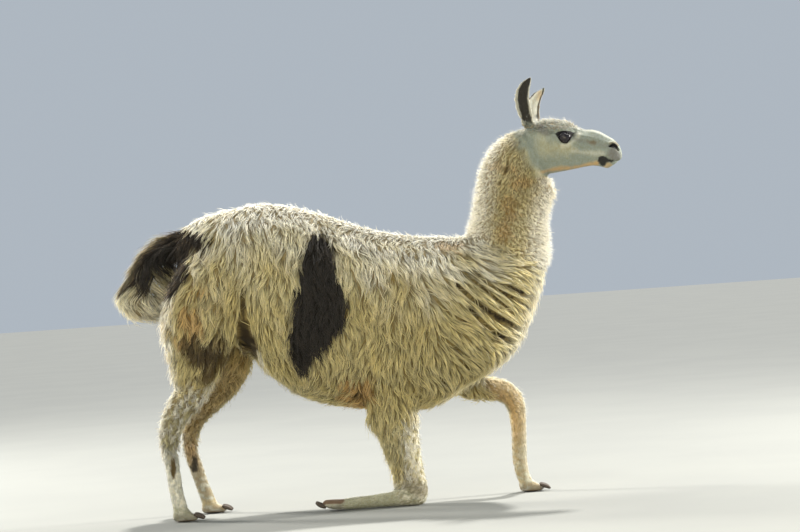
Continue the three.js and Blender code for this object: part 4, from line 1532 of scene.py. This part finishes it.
def make_stage():
    stage = bpy.context.scene.llama_stage
    bm = bmesh.new()
    bmesh.ops.create_grid(bm, x_segments=8, y_segments=8, size=40.0)
    floor = bpy.data.objects.new("studio_floor", mesh_from(bm, "studio_floor"))
    floor.data.materials.append(finish_named("studio_floor"))
    bpy.context.scene.collection.objects.link(floor)

    world = bpy.data.worlds.new("studio")
    world.use_nodes = True
    background = world.node_tree.nodes["Background"]
    background.inputs["Color"].default_value = (*stage.backdrop, 1)
    background.inputs["Strength"].default_value = stage.ambient
    bpy.context.scene.world = world
    bpy.context.scene.view_settings.view_transform = "Standard"

    middle = (0.0, 0.0, 0.75)
    sunlight, rimlight = (1.0, 0.97, 0.92), (1.0, 0.97, 0.9)
    for light in (
        ("back_light", "SUN", stage.back_light, (0.7, 1.35, 3.5), middle, sunlight, math.radians(4)),
        ("front_fill", "AREA", stage.front_fill, (-2.2, -5.0, 3.2), middle, (1.0, 0.92, 0.71), 5.0),
        ("low_fill", "AREA", stage.low_fill, (0.4, -3.4, 0.35), (0.0, 0.0, 0.6), (1.0, 0.88, 0.58), 2.5),
        ("head_rim", "AREA", stage.rim, (5.7, 1.2, 2.6), (0.5, 0, 1.0), rimlight, 1.2),
        ("tail_rim", "AREA", stage.rim, (-5.4, 2.6, 2.9), (-0.5, 0, 0.8), rimlight, 1.2),
    ):
        add_light(*light)

    camera = bpy.data.objects.new("camera", bpy.data.cameras.new("camera"))
    bpy.context.scene.collection.objects.link(camera)
    camera.data.sensor_width = 36.0
    camera.data.lens = 105.84
    roll = math.radians(4)
    right = Vector((math.cos(roll), 0, -math.sin(roll)))
    upwards = Vector((math.sin(roll), 0, math.cos(roll)))
    matrix = Matrix((right, upwards, right.cross(upwards))).transposed().to_4x4()
    matrix.translation = (0.0931, -8.0, 0.805)
    camera.matrix_world = matrix
    bpy.context.scene.camera = camera


# ---- settings, operators and panel ----
def tone(name, description, colour):
    return FloatVectorProperty(
        name=name, description=description, subtype="COLOR", size=3, min=0, max=1, default=colour
    )


def amount(name, description, default, low, high, **kind):
    """A number with its limits, and its unit or subtype."""
    return FloatProperty(name=name, description=description, default=default, min=low, max=high, **kind)


def distance(name, description, default, low, high):
    return amount(name, description, default, low, high, unit="LENGTH")


def share(name, description, default, low, high):
    return amount(name, description, default, low, high, subtype="FACTOR")


def power(name, description, default):
    return amount(name, description, default, 0.0, 3000.0, unit="POWER")


class LlamaShape(bpy.types.PropertyGroup):
    body_grain: distance("Body grain", "Size of the skin's faces on the body", 0.0098, 0.008, 0.02)
    face_grain: distance("Face grain", "Size of the skin's faces on the head", 0.0031, 0.0028, 0.006)
    lash_length: distance("Lash length", "Length of the upper lashes", 0.012, 0.005, 0.04)


class LlamaCoat(bpy.types.PropertyGroup):
    length: share("Length", "Length of the coat, as a share of its usual length", 1.0, 0.3, 1.2)
    width: share("Tuft width", "Width of each tuft, as a share of its usual width", 1.0, 0.5, 2.0)
    spacing: share("Spacing", "Distance between tufts, as a share of the usual distance", 1.0, 0.9, 2.0)
    curl: share("Curl", "Strength of the coat's waves and curls", 1.0, 0.0, 2.0)


class LlamaTones(bpy.types.PropertyGroup):
    cream: tone("Cream", "Main colour of the fleece", (0.84, 0.755, 0.45))
    straw: tone("Straw", "Second colour of the fleece, in soft patches", (0.73, 0.605, 0.29))
    tan: tone("Tan", "Yellower fleece low on the sides", (0.62, 0.50, 0.21))
    # White also paints the light on the back and the rim light on the outlines.
    white: tone("White", "Fleece bleached by the sun, along the back", (0.93, 0.89, 0.77))
    # Darker and bluer than the hair's own pale grey: partly painted shade.
    face_grey: tone("Face grey", "Short hair of the face and lower legs", (0.243, 0.284, 0.258))
    warm: tone("Warm", "Orange-brown hair inside the legs and under the jaw", (0.62, 0.38, 0.14))
    rust: tone("Rust", "Brown stains in the fleece", (0.15, 0.10, 0.035))
    dusk: tone("Dusk", "Grey-purple hair of the lips and toes", (0.15, 0.13, 0.14))
    dark: tone("Dark", "Near-black brown patches", (0.024, 0.020, 0.017))
    # Painted shade in the depths of the partings and of the flank fold.
    parting: tone("Parting", "Brown depths where the locks part", (0.045, 0.030, 0.016))
    # Painted shade of the skin deep in the fleece.
    underwool: tone("Underwool", "Shade of the skin deep in the fleece", (0.36, 0.33, 0.27))
    black_skin: tone("Black skin", "Lids, nostrils and the corners of the mouth", (0.010, 0.009, 0.010))
    pad: tone("Pads", "Leathery pads under the feet", (0.14, 0.08, 0.05))
    iris: tone("Iris", "Brown of the iris", (0.007, 0.006, 0.007))
    iris_deep: tone("Deep iris", "Darker streaks of the iris", (0.006, 0.004, 0.003))
    eye_rim: tone("Eye rim", "Edge of the eyeball", (0.012, 0.009, 0.009))
    pupil: tone("Pupil", "Pupil of the eye", (0.003, 0.003, 0.004))
    horn: tone("Horn", "Dark horn of the toenails", (0.045, 0.034, 0.028))
    horn_pale: tone("Pale horn", "Worn, paler horn", (0.12, 0.095, 0.075))
    floor: tone("Floor", "Studio floor", (0.22, 0.225, 0.21))
    floor_worn: tone("Worn floor", "Slightly darker floor", (0.21, 0.215, 0.202))
    # Root shade and lock shade set the painted shade of the coat on itself.
    root_shade: share("Root shade", "Brightness of each tuft at its root", 0.42, 0.0, 1.0)
    lock_shade: share("Lock shade", "Brightness of the coat between two locks", 0.52, 0.0, 1.0)


class LlamaStage(bpy.types.PropertyGroup):
    backdrop: tone("Backdrop", "Colour of the plain backdrop", (0.76, 0.85, 0.95))
    ambient: amount("Ambient", "Strength of the even light from all round", 0.56, 0.0, 3.0)
    back_light: amount("Back light", "Strength of the light behind the animal", 5.4, 0.0, 20.0)
    front_fill: power("Front fill", "Power of the soft light in front", 117.0)
    low_fill: power("Low fill", "Power of the warm light near the floor", 50.0)
    rim: power("Rim", "Power of each of the two lights behind the outline", 610.0)


class LLAMA_OT_skin(bpy.types.Operator):
    """One skin over the whole body, with lids, nostrils and lips"""

    bl_idname = "llama.skin"
    bl_label = "Skin"

    def execute(self, context):
        make_skin()
        return {"FINISHED"}


class LLAMA_OT_eyes(bpy.types.Operator):
    """Eyeballs and lashes"""

    bl_idname = "llama.eyes"
    bl_label = "Eyes"

    def execute(self, context):
        for word, side in SIDES.items():
            make_eyeball(side, f"eyeball_{word}")
        make_lashes()
        return {"FINISHED"}


class LLAMA_OT_toenails(bpy.types.Operator):
    """Two toenails on each foot"""

    bl_idname = "llama.toenails"
    bl_label = "Toenails"

    def execute(self, context):
        for leg in LEGS:
            for word in ("left", "right"):
                make_toenail(f"{leg}_nail_{word}")
        return {"FINISHED"}


class LLAMA_OT_trunk_fleece(bpy.types.Operator):
    """Long locks over the trunk, in four pieces"""

    bl_idname = "llama.trunk_fleece"
    bl_label = "Trunk fleece"

    def execute(self, context):
        for word, side in SIDES.items():
            for place, front, seed in (("shoulder", True, 40), ("flank", False, 44)):
                chosen = trunk_quarter(side, front)
                grow_coat(f"coat_{place}_{word}", "fleece", chosen, rings=4, seed=seed + side)
        return {"FINISHED"}


class LLAMA_OT_neck_fleece(bpy.types.Operator):
    """Dense short curls over the neck"""

    bl_idname = "llama.neck_fleece"
    bl_label = "Neck fleece"

    def execute(self, context):
        for word, side in SIDES.items():
            chosen = flesh_on(side, "neck", "head") & (hide().tri_length > LONG_HAIR)
            grow_coat(f"coat_neck_{word}", "fleece", chosen, rings=3, seed=50 + side)
        return {"FINISHED"}


class LLAMA_OT_leg_wool(bpy.types.Operator):
    """Locks on the haunches, shaggy curls on the upper legs, and short hair below"""

    bl_idname = "llama.leg_wool"
    bl_label = "Leg wool"

    def execute(self, context):
        for word, side in SIDES.items():
            for place, slot, endings, rings, seed in (
                ("haunch", "fleece", ("thigh",), 4, 60),
                ("upper_legs", "fleece", ("shank", "forearm"), 4, 64),
                ("lower_legs", "short_hair", ("cannon", "foot"), 2, 68),
            ):
                grow_coat(f"coat_{place}_{word}", slot, flesh_on(side, *endings), rings, seed + side)
        return {"FINISHED"}


class LLAMA_OT_tail_plume(bpy.types.Operator):
    """The tail's long hanging locks"""

    bl_idname = "llama.tail_plume"
    bl_label = "Tail plume"

    def execute(self, context):
        grow_coat("coat_tail", "dark_fleece", is_part(hide().tri_part, "tail"), rings=5, seed=70)
        return {"FINISHED"}


class LLAMA_OT_face_hair(bpy.types.Operator):
    """Short hair on the head and the ears"""

    bl_idname = "llama.face_hair"
    bl_label = "Face hair"

    def execute(self, context):
        part = hide().tri_part
        chosen = is_part(part, "head", "neck") & (hide().tri_length <= LONG_HAIR)
        grow_coat("coat_head", "short_hair", chosen, rings=1, seed=80)
        grow_coat("coat_ears", "short_hair", is_part(part, "ear_left", "ear_right"), rings=2, seed=81)
        return {"FINISHED"}


class LLAMA_OT_stage(bpy.types.Operator):
    """A plain pale floor, soft studio light and the camera"""

    bl_idname = "llama.stage"
    bl_label = "Stage"

    def execute(self, context):
        make_stage()
        return {"FINISHED"}


class LLAMA_PT_panel(bpy.types.Panel):
    """Lists the pieces of the llama and their settings"""

    bl_idname = "LLAMA_PT_panel"
    bl_label = "Llama"
    bl_space_type = "VIEW_3D"
    bl_region_type = "UI"
    bl_category = "Llama"

    def draw(self, context):
        for operator in OPERATORS:
            self.layout.operator(operator.bl_idname)
        for group in SETTINGS:
            box = self.layout.box()
            settings = getattr(context.scene, group)
            for name in SETTINGS[group].__annotations__:
                box.prop(settings, name)


SETTINGS = {
    "llama_shape": LlamaShape,
    "llama_coat": LlamaCoat,
    "llama_tones": LlamaTones,
    "llama_stage": LlamaStage,
}
OPERATORS = (
    LLAMA_OT_stage,
    LLAMA_OT_skin,
    LLAMA_OT_eyes,
    LLAMA_OT_toenails,
    LLAMA_OT_trunk_fleece,
    LLAMA_OT_neck_fleece,
    LLAMA_OT_leg_wool,
    LLAMA_OT_tail_plume,
    LLAMA_OT_face_hair,
)
CLASSES = (*SETTINGS.values(), *OPERATORS, LLAMA_PT_panel)


def register():
    for cls in CLASSES:
        bpy.utils.register_class(cls)
    for name, group in SETTINGS.items():
        setattr(bpy.types.Scene, name, PointerProperty(type=group))


def unregister():
    for name in SETTINGS:
        delattr(bpy.types.Scene, name)
    for cls in reversed(CLASSES):
        bpy.utils.unregister_class(cls)


def main():
    register()
    for operator in OPERATORS:
        group, name = operator.bl_idname.split(".")
        getattr(getattr(bpy.ops, group), name)()


if __name__ == "__main__":
    main()
